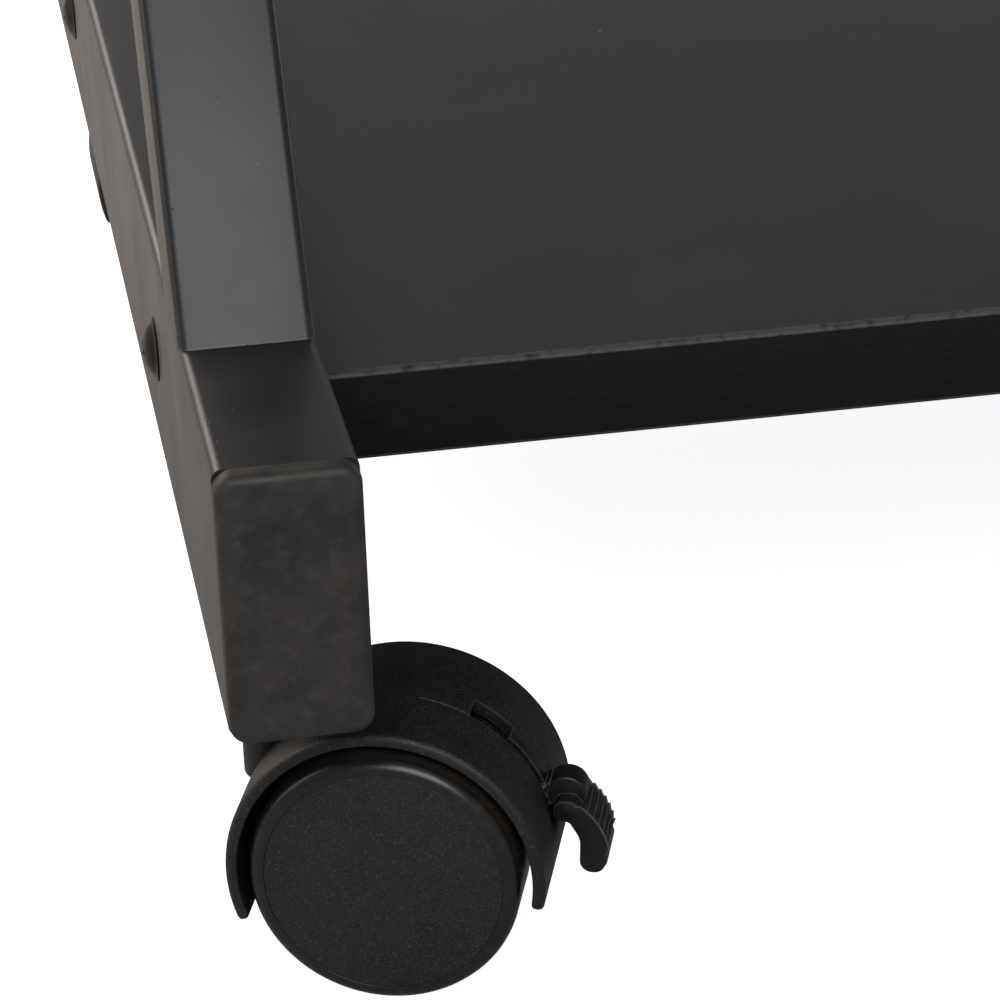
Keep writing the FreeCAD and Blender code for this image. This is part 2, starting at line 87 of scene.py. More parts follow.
print("nodes", len(frame["nodes"]), "design box", [round(side, 4) for side in design_box[1] - design_box[0]])

# %% [markdown]
# ## Reading places from the model
#
# A piece of the model knows where it is, so a new mesh never needs a typed coordinate. Two short
# helpers ask for the middle and the size of any piece.

# %% Ask the model where things are


def middle(node):
    low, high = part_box(node)
    return (low + high) / 2


def size(node):
    low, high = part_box(node)
    return high - low


tube_width = size("post_left").x
print("tube width", round(tube_width, 4), "base rail height", round(size("base_rail_left").z, 4))

# %% [markdown]
# ## Rounded outlines
#
# Nothing on the cart has a perfectly sharp edge: the tube corners are rolled, the caps are moulded
# and the boards are trimmed. A bevel modifier could round them all, but it rounds every edge by the
# same amount. Drawing each outline with its own corner radii is as short and says what the real
# tool did.

# %% Outlines with rounded corners


def rounded_outline(corners, steps=6):
    """Closed outline from (across, up, radius) corners, each turned into an arc."""
    outline = []
    for n, (across, up, radius) in enumerate(corners):
        here = Vector((across, up))
        if radius == 0:
            outline.append(here)
            continue
        back = (Vector(corners[n - 1][:2]) - here).normalized()
        ahead = (Vector(corners[(n + 1) % len(corners)][:2]) - here).normalized()
        half = back.angle(ahead) / 2
        centre = here + (back + ahead).normalized() * (radius / math.sin(half))
        arm = here + back * (radius / math.tan(half)) - centre
        last = here + ahead * (radius / math.tan(half)) - centre
        turn = math.atan2(arm.cross(last), arm.dot(last))
        for step in range(steps + 1):
            angle = turn * step / steps
            outline.append(centre + Matrix.Rotation(angle, 2) @ arm)
    return outline


def rounded_rectangle(low, high, radius, steps=6):
    """Rounded rectangle between two (across, up) corners."""
    return rounded_outline([(low[0], low[1], radius), (high[0], low[1], radius),
                            (high[0], high[1], radius), (low[0], high[1], radius)], steps)


print("points in a tube's section", len(rounded_rectangle((0, 0), (1, 1), 0.1)))

# %% [markdown]
# ## Lofts and lathes
#
# Two builders make most pieces. A loft joins a row of outlines with quads, which suits tubes, caps
# and boards. A lathe turns one outline about the wheel's axle, which suits wheels, covers, pins and
# screw heads. Both give even quads that shade smoothly and keep a clean silhouette.

# %% Loft and lathe


def loft(loops, closed=False):
    """Quads between loops with equal numbers of points; closed joins the last loop to the first."""
    shape = bmesh.new()
    rings = [[shape.verts.new(point) for point in loop] for loop in loops]
    pairs = list(zip(rings, rings[1:]))
    if closed:
        pairs.append((rings[-1], rings[0]))
    else:
        shape.faces.new(rings[0])
        shape.faces.new(rings[-1])
    for first, second in pairs:
        for n in range(len(first)):
            m = (n + 1) % len(first)
            shape.faces.new((first[n], first[m], second[m], second[n]))
    bmesh.ops.recalc_face_normals(shape, faces=shape.faces)
    return shape


def lathe(outline, steps=96):
    """Turn a (radius, along) outline about the Y axis. Points on the axis become one vertex."""
    shape = bmesh.new()
    rings = []
    for radius, along in outline:
        if radius < 1e-9:
            rings.append([shape.verts.new((0, along, 0))] * steps)
            continue
        turns = [math.tau * step / steps for step in range(steps)]
        rings.append([shape.verts.new((radius * math.cos(t), along, radius * math.sin(t))) for t in turns])
    for first, second in zip(rings, rings[1:] + rings[:1]):
        for n in range(steps):
            m = (n + 1) % steps
            corners = []
            for corner in (first[n], first[m], second[m], second[n]):
                if corner not in corners:
                    corners.append(corner)
            if len(corners) > 2:
                shape.faces.new(corners)
    bmesh.ops.recalc_face_normals(shape, faces=shape.faces)
    return shape


def block(low, high, edge, axis="Y"):
    """Rounded bar between two corners, its ends eased as well. The axis is the long way."""
    a, b, c = {"X": (1, 2, 0), "Y": (0, 2, 1), "Z": (0, 1, 2)}[axis]
    loops = []
    for along, inset in ((low[c], edge), (low[c] + edge, 0), (high[c] - edge, 0), (high[c], edge)):
        loop = []
        radius = max(edge - inset / 2, edge / 2)
        for point in rounded_rectangle((low[a] + inset, low[b] + inset),
                                       (high[a] - inset, high[b] - inset), radius, 3):
            place = Vector((0, 0, 0))
            place[a] = point.x
            place[b] = point.y
            place[c] = along
            loop.append(place)
        loops.append(loop)
    return loft(loops)


print("lathe and loft ready")

# %% [markdown]
# ## From mesh to finished piece
#
# A finished piece needs four things: smooth shading with its true edges kept sharp, a finish, the
# body of the model that it moves with, and the model pieces that it stands for. `into_object` gives
# the shading and one function gives the other three, so no piece can miss one.

# %% Place a finished piece
finishes = {}


def into_object(name, shape, place=None, sharp=32):
    """Turn a bmesh into an object. Edges that turn by more than `sharp` degrees stay crisp."""
    if place is not None:
        shape.transform(place)
    mesh = bpy.data.meshes.new(name)
    shape.to_mesh(mesh)
    shape.free()
    mesh.shade_smooth()
    mesh.set_sharp_from_angle(angle=math.radians(sharp))
    made = bpy.data.objects.new(name, mesh)
    scene_objects.link(made)
    return made


def settle(made, sharp=32):
    """Keep the result of an object's modifiers as its own mesh."""
    bpy.context.view_layer.update()
    seen = made.evaluated_get(bpy.context.evaluated_depsgraph_get())
    mesh = bpy.data.meshes.new_from_object(seen)
    made.modifiers.clear()
    made.data = mesh
    mesh.shade_smooth()
    mesh.set_sharp_from_angle(angle=math.radians(sharp))
    return made


def combine(made, tool, operation):
    """Join or cut one closed mesh with another, then throw the tool away."""
    step = made.modifiers.new(operation.lower(), "BOOLEAN")
    step.operation = operation
    step.solver = "EXACT"
    step.object = tool
    settle(made)
    bpy.data.objects.remove(tool)
    return made


def hand_over(made, finish, body, *nodes):
    """Give a piece its finish and its body, and let it stand for pieces of the model."""
    made.data.materials.clear()
    made.data.materials.append(finishes[finish])
    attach(made, body)
    if nodes:
        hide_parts(*nodes)
    return made


print("bodies that move", sorted(name for name in frame["bodies"] if name != "frame")[:4], "and more")

# %% [markdown]
# ## Node helpers
#
# Every finish here is a small network of nodes. `add_node` makes one node and fills its inputs, by
# value or by a link, so that a network reads as a list of sentences. `new_effect` starts a node
# group with named inputs and outputs.

# %% Build networks of nodes


def add_node(tree, kind, inputs=None, **settings):
    made = tree.nodes.new("ShaderNode" + kind)
    for name, value in settings.items():
        setattr(made, name, value)
    for name, value in (inputs or {}).items():
        if isinstance(value, bpy.types.NodeSocket):
            tree.links.new(value, made.inputs[name])
        else:
            made.inputs[name].default_value = value
    return made


def figure(tree, operation, first, second=0.0, clamp=False):
    """One sum: ADD, MULTIPLY, LESS_THAN and so on."""
    return add_node(tree, "Math", {0: first, 1: second}, operation=operation, use_clamp=clamp).outputs[0]


def spread(tree, value, low, high, to_low=0.0, to_high=1.0):
    """Stretch values between low and high to a new range, clamped."""
    return add_node(tree, "MapRange", {"Value": value, "From Min": low, "From Max": high,
                                       "To Min": to_low, "To Max": to_high}).outputs["Result"]


def blend_colours(tree, mask, under, over):
    return add_node(tree, "Mix", {0: mask, 6: under, 7: over}, data_type="RGBA").outputs[2]


def shrink(tree, position, length):
    """Position measured in steps of a length, which sets the scale of a texture."""
    share = figure(tree, "DIVIDE", 1.0, length)
    return add_node(tree, "VectorMath", {0: position, "Scale": share}, operation="SCALE").outputs[0]


def noise_at(tree, position, length, **inputs):
    """Noise whose features are about a length across."""
    inputs = {"Vector": shrink(tree, position, length), "Scale": 1.0, **inputs}
    return add_node(tree, "TexNoise", inputs).outputs["Fac"]


def new_effect(name, inputs, outputs):
    """Empty node group with named sockets: inputs are (name, kind, value), outputs (name, kind)."""
    group = bpy.data.node_groups.new(name, "ShaderNodeTree")
    for label, kind, value in inputs:
        socket = group.interface.new_socket(label, in_out="INPUT", socket_type="NodeSocket" + kind)
        if value is not None:
            socket.default_value = value
    for label, kind in outputs:
        group.interface.new_socket(label, in_out="OUTPUT", socket_type="NodeSocket" + kind)
    start = group.nodes.new("NodeGroupInput").outputs
    end = group.nodes.new("NodeGroupOutput").inputs
    return group, start, end


def place_effect(tree, group, **values):
    """Put a group in a material. Underscores in names stand for spaces."""
    made = tree.nodes.new("ShaderNodeGroup")
    made.node_tree = group
    for name, value in values.items():
        socket = made.inputs[name.replace("_", " ")]
        if isinstance(value, bpy.types.NodeSocket):
            tree.links.new(value, socket)
        else:
            socket.default_value = value
    return made.outputs


print("node helpers ready")

# %% [markdown]
# ## Effect: moulded grain and painted glints
#
# The hoods and wheel covers come from a mould whose steel was etched by sparks. The plastic copies
# that skin: small even bumps, and here and there a grain that faces the light and glints. A noise
# gives the bumps. A cell pattern gives each grain its own random number, and the few highest ones
# are the glints: painted highlights, which the finishes lay into the colour as light specks.

# %% Moulded grain and painted glints
grain_and_glint_effect, start, end = new_effect(
    "Moulded grain and painted glints",
    [("Position", "Vector", None), ("Grain Size", "Float", 0.3 * mm), ("Rarity", "Float", 0.8)],
    [("Height", "Float"), ("Painted Glint", "Float")])
fine = shrink(grain_and_glint_effect, start["Position"], start["Grain Size"])
bumps = add_node(grain_and_glint_effect, "TexNoise", {"Vector": fine, "Scale": 0.8, "Detail": 2.0, "Roughness": 0.6})
grains = add_node(grain_and_glint_effect, "TexVoronoi", {"Vector": fine, "Scale": 1.0})
lot = add_node(grain_and_glint_effect, "SeparateColor", {"Color": grains.outputs["Color"]}).outputs["Red"]
# The glint mask is a painted highlight: it marks the grains that are painted light in the colour.
painted_glint = spread(grain_and_glint_effect, lot, start["Rarity"], 1.0)
core = spread(grain_and_glint_effect, grains.outputs["Distance"], 0.6, 0.15)
grain_and_glint_effect.links.new(bumps.outputs["Fac"], end["Height"])
grain_and_glint_effect.links.new(figure(grain_and_glint_effect, "MULTIPLY", painted_glint, core), end["Painted Glint"])
print(grain_and_glint_effect.name, "with", len(grain_and_glint_effect.nodes), "nodes")

# %% [markdown]
# ## Effect: scattered dots
#
# Pits in the powder coat, specks of dust and small nicks are all the same pattern: round dots, far
# apart, of uneven size. A cell pattern places one dot in each cell, and the cell's random number
# decides whether that dot is there and how large it is.

# %% Scattered dots
dots_effect, start, end = new_effect(
    "Scattered dots",
    [("Position", "Vector", None), ("Spacing", "Float", 6 * mm), ("Dot Size", "Float", 0.08),
     ("Share", "Float", 0.5)],
    [("Mask", "Float")])
cells = add_node(dots_effect, "TexVoronoi",
                 {"Vector": shrink(dots_effect, start["Position"], start["Spacing"]), "Scale": 1.0})
lot = add_node(dots_effect, "SeparateColor", {"Color": cells.outputs["Color"]})
radius = figure(dots_effect, "MULTIPLY", start["Dot Size"],
                spread(dots_effect, lot.outputs["Green"], 0.0, 1.0, 0.35, 1.0))
dot = spread(dots_effect, cells.outputs["Distance"], radius, figure(dots_effect, "MULTIPLY", radius, 0.5))
there = figure(dots_effect, "LESS_THAN", lot.outputs["Red"], start["Share"])
dots_effect.links.new(figure(dots_effect, "MULTIPLY", dot, there), end["Mask"])
print(dots_effect.name, "with", len(dots_effect.nodes), "nodes")

# %% [markdown]
# ## Effect: soft patches
#
# Handling leaves large, soft patches that are a little lighter, darker or shinier than the rest. A
# noise of a chosen size, stretched between two levels, makes them. The levels are inputs, so the
# same group gives a faint cloud or a patchy scuff.

# %% Soft patches
patches_effect, start, end = new_effect(
    "Soft patches",
    [("Position", "Vector", None), ("Patch Size", "Float", 20 * mm), ("Low", "Float", 0.35),
     ("High", "Float", 0.65)],
    [("Mask", "Float")])
cloud = noise_at(patches_effect, start["Position"], start["Patch Size"], Detail=5.0, Roughness=0.55)
patches_effect.links.new(spread(patches_effect, cloud, start["Low"], start["High"]), end["Mask"])
print(patches_effect.name, "with", len(patches_effect.nodes), "nodes")

# %% [markdown]
# ## Effect: worn edges
#
# Edges are touched most, so they polish or turn pale first. Painting wear by hand would have to be
# done again for every piece. Instead the group asks how far the surface turns within a small
# radius, by comparing the true normal with one averaged over that radius, and a noise breaks the
# result up so that the wear is uneven.

# %% Worn edges
wear_effect, start, end = new_effect(
    "Worn edges",
    [("Position", "Vector", None), ("Radius", "Float", 0.8 * mm), ("Breakup Size", "Float", 2 * mm)],
    [("Mask", "Float")])
averaged = add_node(wear_effect, "Bevel", {"Radius": start["Radius"]}, samples=6).outputs[0]
true_normal = add_node(wear_effect, "NewGeometry").outputs["Normal"]
alike = add_node(wear_effect, "VectorMath", {0: averaged, 1: true_normal}, operation="DOT_PRODUCT")
turned_away = spread(wear_effect, alike.outputs["Value"], 0.995, 0.88)
uneven = noise_at(wear_effect, start["Position"], start["Breakup Size"], Detail=4.0, Roughness=0.7)
kept = spread(wear_effect, uneven, 0.3, 0.6, 0.25, 1.0)
wear_effect.links.new(figure(wear_effect, "MULTIPLY", turned_away, kept), end["Mask"])
print(wear_effect.name, "with", len(wear_effect.nodes), "nodes")

# %% [markdown]
# ## Effect: hairline scratches
#
# Sliding things across a board or knocking a cap leaves fine straight hairlines. A noise that is
# stretched a hundredfold along one direction turns into streaks, and keeping only a thin slice of
# its values leaves single lines. Two sets at different angles look less regular than one.

# %% Hairline scratches
scratch_effect, start, end = new_effect(
    "Hairline scratches",
    [("Position", "Vector", None), ("Spacing", "Float", 12 * mm), ("Share", "Float", 0.4)],
    [("Mask", "Float")])
streaks = None
for angle, shift in ((0.5, 3.1), (-1.1, 7.7)):
    turned = add_node(scratch_effect, "VectorRotate",
                      {"Vector": shrink(scratch_effect, start["Position"], start["Spacing"]),
                       "Angle": angle, "Axis": (0.3, 0.5, 0.8)})
    stretched = add_node(scratch_effect, "Mapping", {"Vector": turned.outputs[0],
                                                     "Location": (shift, shift, shift),
                                                     "Scale": (0.12, 3.0, 3.0)})
    lines = add_node(scratch_effect, "TexNoise", {"Vector": stretched.outputs[0], "Scale": 1.0,
                                                  "Detail": 0.0})
    off_middle = figure(scratch_effect, "ABSOLUTE", figure(scratch_effect, "SUBTRACT",
                                                           lines.outputs["Fac"], 0.5))
    line = spread(scratch_effect, off_middle, 0.004, 0.0)
    streaks = line if streaks is None else figure(scratch_effect, "MAXIMUM", streaks, line)
where = noise_at(scratch_effect, start["Position"], start["Spacing"], Scale=0.7)
share = figure(scratch_effect, "SUBTRACT", 1.0, start["Share"])
there = spread(scratch_effect, where, share, figure(scratch_effect, "ADD", share, 0.1))
scratch_effect.links.new(figure(scratch_effect, "MULTIPLY", streaks, there), end["Mask"])
print(scratch_effect.name, "with", len(scratch_effect.nodes), "nodes")

# %% [markdown]
# ## Effect: settled dust
#
# Dust lies on what faces up, and thins out in patches where a hand or a cloth has passed. The
# normal's upward share times a noise is enough.

# %% Settled dust
dust_effect, start, end = new_effect(
    "Settled dust",
    [("Position", "Vector", None), ("Patch Size", "Float", 30 * mm), ("Amount", "Float", 0.3)],
    [("Mask", "Float")])
facing = add_node(dust_effect, "SeparateXYZ", {0: add_node(dust_effect, "NewGeometry").outputs["Normal"]})
upward = spread(dust_effect, facing.outputs["Z"], 0.5, 1.0)
drift = noise_at(dust_effect, start["Position"], start["Patch Size"], Detail=8.0, Roughness=0.7)
lying = figure(dust_effect, "MULTIPLY", upward, spread(dust_effect, drift, 0.35, 0.75))
dust_effect.links.new(figure(dust_effect, "MULTIPLY", lying, start["Amount"]), end["Mask"])
print(dust_effect.name, "with", len(dust_effect.nodes), "nodes")

# %% [markdown]
# ## Starting a finish
#
# Each finish is one Principled shader. What is the same all over the surface, such as how strongly
# it mirrors, is set on the shader itself; what changes over the surface comes from the effects.

# %% Start a finish
class Finish:
    """One Principled shader and the effects placed on it."""

    def __init__(self, slot_name, title, **constants):
        material = bpy.data.materials.new(title)
        material.use_nodes = True
        finishes[slot_name] = material
        self.tree = material.node_tree
        self.shader = self.tree.nodes["Principled BSDF"].inputs
        for name, value in constants.items():
            self.shader[name.replace("_", " ")].default_value = value
        self.position = add_node(self.tree, "TexCoord").outputs["Object"]

    def place(self, group, **values):
        return place_effect(self.tree, group, **{"Position": self.position, **values})

    def mask(self, group, **values):
        return self.place(group, **values)["Mask"]

    def noise(self, scale, **values):
        inputs = {"Vector": self.position, "Scale": scale, **values}
        return add_node(self.tree, "TexNoise", inputs).outputs["Fac"]

    def openness(self, distance):
        """How open the surroundings are within a distance: 1 in the open, less in a gap."""
        return add_node(self.tree, "AmbientOcclusion", {"Distance": distance}, samples=4).outputs["AO"]

    def colour(self, base, *layers):
        """Lay colours over a base. Each layer is (mask, strength, colour)."""
        base = (*base, 1)
        for mask, strength, over in layers:
            if strength < 1:
                mask = figure(self.tree, "MULTIPLY", mask, strength)
            base = blend_colours(self.tree, mask, base, (*over, 1))
        self.tree.links.new(base, self.shader["Base Color"])

    def vary(self, socket, mask, at_low, at_high, low=0.0, high=1.0):
        """Let a mask between low and high move a shader's value between two others."""
        self.tree.links.new(spread(self.tree, mask, low, high, at_low, at_high), self.shader[socket])

    def raise_surface(self, height, depth):
        """Bump the surface by a height between 0 and 1, times a depth in metres."""
        bump = add_node(self.tree, "Bump", {"Height": height, "Distance": depth})
        self.tree.links.new(bump.outputs["Normal"], self.shader["Normal"])


DUST = (0.30, 0.29, 0.27)
print("finishes start from one Principled shader each")

# %% [markdown]
# ## Finish: satin powder coat
#
# The steel tubes are powder coated black. Powder melts into a skin that is never quite flat, the
# orange peel, and it traps small pits and specks. Noise of about a millimetre makes the peel; two
# sets of dots make the pits and the pale specks.

# %% Satin powder coat
coat = Finish("powder_coat", "Satin powder coat")
clouds = coat.mask(patches_effect, Patch_Size=45 * mm)
pits = coat.mask(dots_effect, Spacing=4.2 * mm, Dot_Size=0.085, Share=0.6)
specks = coat.mask(dots_effect, Spacing=6 * mm, Dot_Size=0.04, Share=0.6)
wear = coat.mask(wear_effect, Radius=0.7 * mm, Breakup_Size=6 * mm)
dust = coat.mask(dust_effect, Patch_Size=35 * mm, Amount=0.035)
coat.colour((0.0135, 0.0135, 0.015), (clouds, 1, (0.019, 0.0188, 0.0205)), (pits, 1, (0.004, 0.004, 0.004)),
            (specks, 1, (0.22, 0.21, 0.20)), (wear, 0.35, (0.10, 0.10, 0.105)), (dust, 1, DUST))
coat.vary("Roughness", clouds, 0.33, 0.41)
peel = coat.noise(800, Detail=2.0)
coat.raise_surface(figure(coat.tree, "SUBTRACT", peel, figure(coat.tree, "MULTIPLY", pits, 6.0)), 0.012 * mm)
print("powder coat nodes", len(coat.tree.nodes))

# %% [markdown]
# ## Finish: faced board
#
# The boards are particle board under a smooth black melamine film. The press plate leaves a very
# fine satin texture, the film is even in colour, and use leaves hairlines and a few nicks.

# %% Black melamine
film = Finish("melamine", "Black melamine film", Specular_IOR_Level=0.4)
clouds = film.mask(patches_effect, Patch_Size=140 * mm, Low=0.3, High=0.7)
hairlines = film.mask(scratch_effect, Spacing=45 * mm, Share=0.38)
nicks = film.mask(dots_effect, Spacing=48 * mm, Dot_Size=0.014, Share=0.45)
dust = film.mask(dust_effect, Patch_Size=60 * mm, Amount=0.03)
film.colour((0.0125, 0.0123, 0.012), (clouds, 1, (0.018, 0.0177, 0.0172)),
            (hairlines, 0.06, (0.16, 0.155, 0.15)), (nicks, 1, (0.20, 0.18, 0.15)), (dust, 1, DUST))
film.vary("Roughness", clouds, 0.36, 0.43)
film.raise_surface(figure(film.tree, "SUBTRACT", film.noise(1600, Detail=2.0), hairlines), 0.004 * mm)
print("melamine nodes", len(film.tree.nodes))

# %% [markdown]
# ## Finish: edge band
#
# The cut edges of the boards are closed with a plastic band. Its face has a fine grain along its
# length, and where the band was trimmed flush the scraped plastic stays paler, which draws a light
# line along every board edge.

# %% Edge band
band = Finish("edge_band", "Trimmed edge band", Specular_IOR_Level=0.25)
lengthwise = add_node(band.tree, "Mapping", {"Vector": band.position, "Scale": (0.08, 0.08, 1.0)}).outputs[0]
fibres = band.noise(2200, Vector=lengthwise, Detail=3.0)
facing = add_node(band.tree, "SeparateXYZ", {0: add_node(band.tree, "NewGeometry").outputs["Normal"]})
tilt = figure(band.tree, "ABSOLUTE", facing.outputs["Z"])
chips = band.mask(patches_effect, Patch_Size=2.2 * mm, Low=0.22, High=0.5)
trimmed = figure(band.tree, "MULTIPLY", spread(band.tree, tilt, 0.16, 0.3), chips)
specks = band.mask(dots_effect, Spacing=4 * mm, Dot_Size=0.05, Share=0.3)
band.colour((0.0045, 0.0045, 0.0045), (spread(band.tree, fibres, 0.35, 0.7), 1, (0.0095, 0.009, 0.0085)),
            (specks, 0.25, (0.06, 0.058, 0.055)), (trimmed, 1, (0.075, 0.068, 0.062)))
band.vary("Roughness", fibres, 0.5, 0.62, 0.3, 0.7)
band.raise_surface(fibres, 0.01 * mm)
print("edge band nodes", len(band.tree.nodes))

# %% [markdown]
# ## Finish: end cap plastic
#
# The end caps are soft polyethylene. They are the cart's bumpers, so they show the most: brownish
# and greenish rub marks in patches, fine scuffs, and a small nick from the moulding gate.

# %% End cap plastic
cap = Finish("cap_plastic", "Scuffed cap plastic")
broad = cap.mask(patches_effect, Patch_Size=11 * mm, Low=0.36, High=0.64)
elsewhere = add_node(cap.tree, "VectorMath", {0: cap.position, 1: (0.31, 0.17, 0.53)}).outputs[0]
green = cap.mask(patches_effect, Position=elsewhere, Patch_Size=7 * mm, Low=0.4, High=0.7)
rubs = cap.mask(patches_effect, Patch_Size=3.2 * mm, Low=0.5, High=0.74)
scuffs = cap.mask(scratch_effect, Spacing=9 * mm, Share=0.5)
nicks = cap.mask(dots_effect, Spacing=21 * mm, Dot_Size=0.028, Share=0.7)
wear = cap.mask(wear_effect, Radius=1.3 * mm, Breakup_Size=3 * mm)
cap.colour((0.0165, 0.0150, 0.0135), (broad, 1, (0.040, 0.0345, 0.0305)),
           (green, 0.5, (0.021, 0.0225, 0.019)), (rubs, 0.45, (0.072, 0.064, 0.057)),
           (wear, 0.3, (0.085, 0.08, 0.075)), (scuffs, 0.2, (0.12, 0.115, 0.105)),
           (nicks, 1, (0.30, 0.30, 0.28)))
cap.vary("Roughness", broad, 0.5, 0.62)
cap.raise_surface(cap.noise(420, Detail=5.0, Roughness=0.6), 0.05 * mm)
print("cap plastic nodes", len(cap.tree.nodes))

# %% [markdown]
# ## Finishes: caster plastics
#
# A caster has four plastics from one pellet bag but four moulds. The hood's mould is spark-grained,
# with painted glints on the grain, and its rims are rubbed pale. The wheel covers are grained finer,
# with more painted glints and a brown cast. The tread is smooth and turns brownish with floor dirt,
# and in the gap under the hood it is painted lighter: dirt and painted light. The toe lever is nearly
# smooth, with wear and a painted highlight along its moulded edges.

# %% Hood nylon
hood = Finish("hood_nylon", "Grained hood nylon")
grain = hood.place(grain_and_glint_effect, Grain_Size=0.3 * mm, Rarity=0.8)
wear = hood.mask(wear_effect, Radius=1.1 * mm, Breakup_Size=1.5 * mm)
clouds = hood.mask(patches_effect, Patch_Size=12 * mm)
specks = hood.mask(dots_effect, Spacing=3.2 * mm, Dot_Size=0.06, Share=0.3)
# The glint layer lays painted highlights on the grain; the other layers are the nylon's own tone, specks and
# wear.
hood.colour((0.0075, 0.0075, 0.0075), (clouds, 1, (0.0125, 0.0123, 0.012)),
            (grain["Painted Glint"], 0.9, (0.12, 0.118, 0.115)), (specks, 0.7, (0.12, 0.115, 0.11)),
            (wear, 0.5, (0.06, 0.058, 0.056)))
# Turning the reflection down where the hood is sheltered paints shade into the window and the gaps.
hood.vary("Specular IOR Level", hood.openness(5 * mm), 0.0, 0.5, 0.5, 0.85)
hood.vary("Roughness", clouds, 0.46, 0.54)
hood.raise_surface(grain["Height"], 0.11 * mm)
print("hood nylon nodes", len(hood.tree.nodes))

# %% Cover nylon
cover = Finish("cover_nylon", "Sparkling cover nylon")
grain = cover.place(grain_and_glint_effect, Grain_Size=0.26 * mm, Rarity=0.4)
bright = cover.place(grain_and_glint_effect, Grain_Size=0.29 * mm, Rarity=0.8)["Painted Glint"]
clouds = cover.mask(patches_effect, Patch_Size=9 * mm, Low=0.3, High=0.7)
# Both glint layers are painted highlights laid into the colour: the sparkle of the grain.
cover.colour((0.0075, 0.0065, 0.0062), (clouds, 1, (0.0125, 0.0105, 0.0098)),
             (grain["Painted Glint"], 0.9, (0.062, 0.054, 0.049)), (bright, 1, (0.10, 0.09, 0.084)))
cover.vary("Roughness", grain["Painted Glint"], 0.5, 0.34)
cover.raise_surface(grain["Height"], 0.1 * mm)
print("cover nylon nodes", len(cover.tree.nodes))

# %% Wheel nylon
wheel = Finish("wheel_nylon", "Smooth wheel nylon")
dirt = wheel.mask(patches_effect, Patch_Size=2.5 * mm, Low=0.45, High=0.75)
grit = wheel.mask(dots_effect, Spacing=1.1 * mm, Dot_Size=0.22, Share=0.35)
# Where the tread sits sheltered in the gap under the hood it is painted a lighter brown: floor dirt together
# with painted light in that gap.
gap_dirt_and_light = spread(wheel.tree, wheel.openness(4 * mm), 0.55, 0.15, 0.0, 0.4)
wheel.colour((0.010, 0.0098, 0.0095), (dirt, 0.5, (0.035, 0.028, 0.023)), (grit, 0.25, (0.09, 0.075, 0.06)),
             (gap_dirt_and_light, 1, (0.12, 0.085, 0.062)))
wheel.vary("Roughness", dirt, 0.29, 0.34)
wheel.raise_surface(wheel.noise(1300, Detail=3.0), 0.008 * mm)
print("wheel nylon nodes", len(wheel.tree.nodes))

# %% Lever nylon
lever = Finish("lever_nylon", "Moulded lever nylon")
wear = lever.mask(wear_effect, Radius=0.35 * mm, Breakup_Size=1.2 * mm)
clouds = lever.mask(patches_effect, Patch_Size=4 * mm)
grain = lever.place(grain_and_glint_effect, Grain_Size=0.3 * mm, Rarity=0.93)
# The pale edge layer is wear together with a painted highlight along the moulded edges, and the glint layer
# is a painted highlight on the grain.
lever.colour((0.0055, 0.0055, 0.0055), (clouds, 1, (0.0095, 0.0093, 0.009)),
             (grain["Painted Glint"], 0.5, (0.055, 0.055, 0.053)), (wear, 0.9, (0.15, 0.147, 0.142)))
lever.vary("Roughness", clouds, 0.38, 0.46)
lever.raise_surface(grain["Height"], 0.03 * mm)
print("lever nylon nodes", len(lever.tree.nodes))

# %% [markdown]
# ## Finishes: fasteners and pins
#
# The screws are zinc plated and then blackened, so metal shines through on the drive recess and
# along the rim. Axles, stems and nuts are plain bright zinc with fine turning marks and a slightly
# cloudy, warm-and-cool film.

# %% Black zinc and bright zinc
black = Finish("black_zinc", "Blackened zinc", Metallic=0.85)
wear = black.mask(wear_effect, Radius=0.4 * mm, Breakup_Size=1.5 * mm)
clouds = black.mask(patches_effect, Patch_Size=3 * mm)
black.colour((0.02, 0.02, 0.021), (clouds, 1, (0.034, 0.033, 0.033)), (wear, 0.6, (0.22, 0.22, 0.22)))
black.vary("Roughness", clouds, 0.3, 0.42)
black.raise_surface(black.noise(2400, Detail=2.0), 0.006 * mm)

zinc = Finish("zinc_steel", "Bright zinc", Metallic=1.0)
clouds = zinc.mask(patches_effect, Patch_Size=5 * mm)
marks = zinc.mask(scratch_effect, Spacing=2 * mm, Share=0.6)
zinc.colour((0.50, 0.51, 0.54), (clouds, 1, (0.60, 0.58, 0.54)), (marks, 0.3, (0.25, 0.25, 0.26)))
zinc.vary("Roughness", clouds, 0.24, 0.38)
zinc.raise_surface(marks, 0.01 * mm)
print("finishes made", sorted(finishes))

# %% [markdown]
# ## The model's own pieces
#
# Pieces that stay as the model has them, such as nuts and inserts inside the tubes, still get their
# finish. The model names the finish of each piece, so one loop dresses them all.

# %% Dress the model's own pieces
for node in frame["nodes"].values():
    for part_slot in node.material_slots:
        part_slot.material = finishes[part_slot.material.name]
print("dressed", len(frame["nodes"]), "pieces of the model")

# %% [markdown]
# ## The frame tubes
#
# The side frames are square and rectangular welded tube. Rolled tube has rounded corners, outside
# and inside, and those corners catch a thin line of light along every edge. A tube is a closed loft:
# out along the outer skin, across the sawn end, and back along the bore.

# %% Straight tubes
tube_corner = 2.0 * mm
tube_wall = 1.5 * mm


def tube_section(low, high, inset=0.0):
    radius = max(tube_corner - inset, 0.7 * mm)
    return rounded_rectangle((low[0] + inset, low[1] + inset), (high[0] - inset, high[1] - inset), radius)


def hollow_bar(low, high, near, far):
    """Tube whose section lies between two (across, up) corners; near and far place its two ends."""
    skin = tube_section(low, high)
    bore = tube_section(low, high, tube_wall)
    return loft([[near(point) for point in skin], [far(point) for point in skin],
                 [far(point) for point in bore], [near(point) for point in bore]], closed=True)


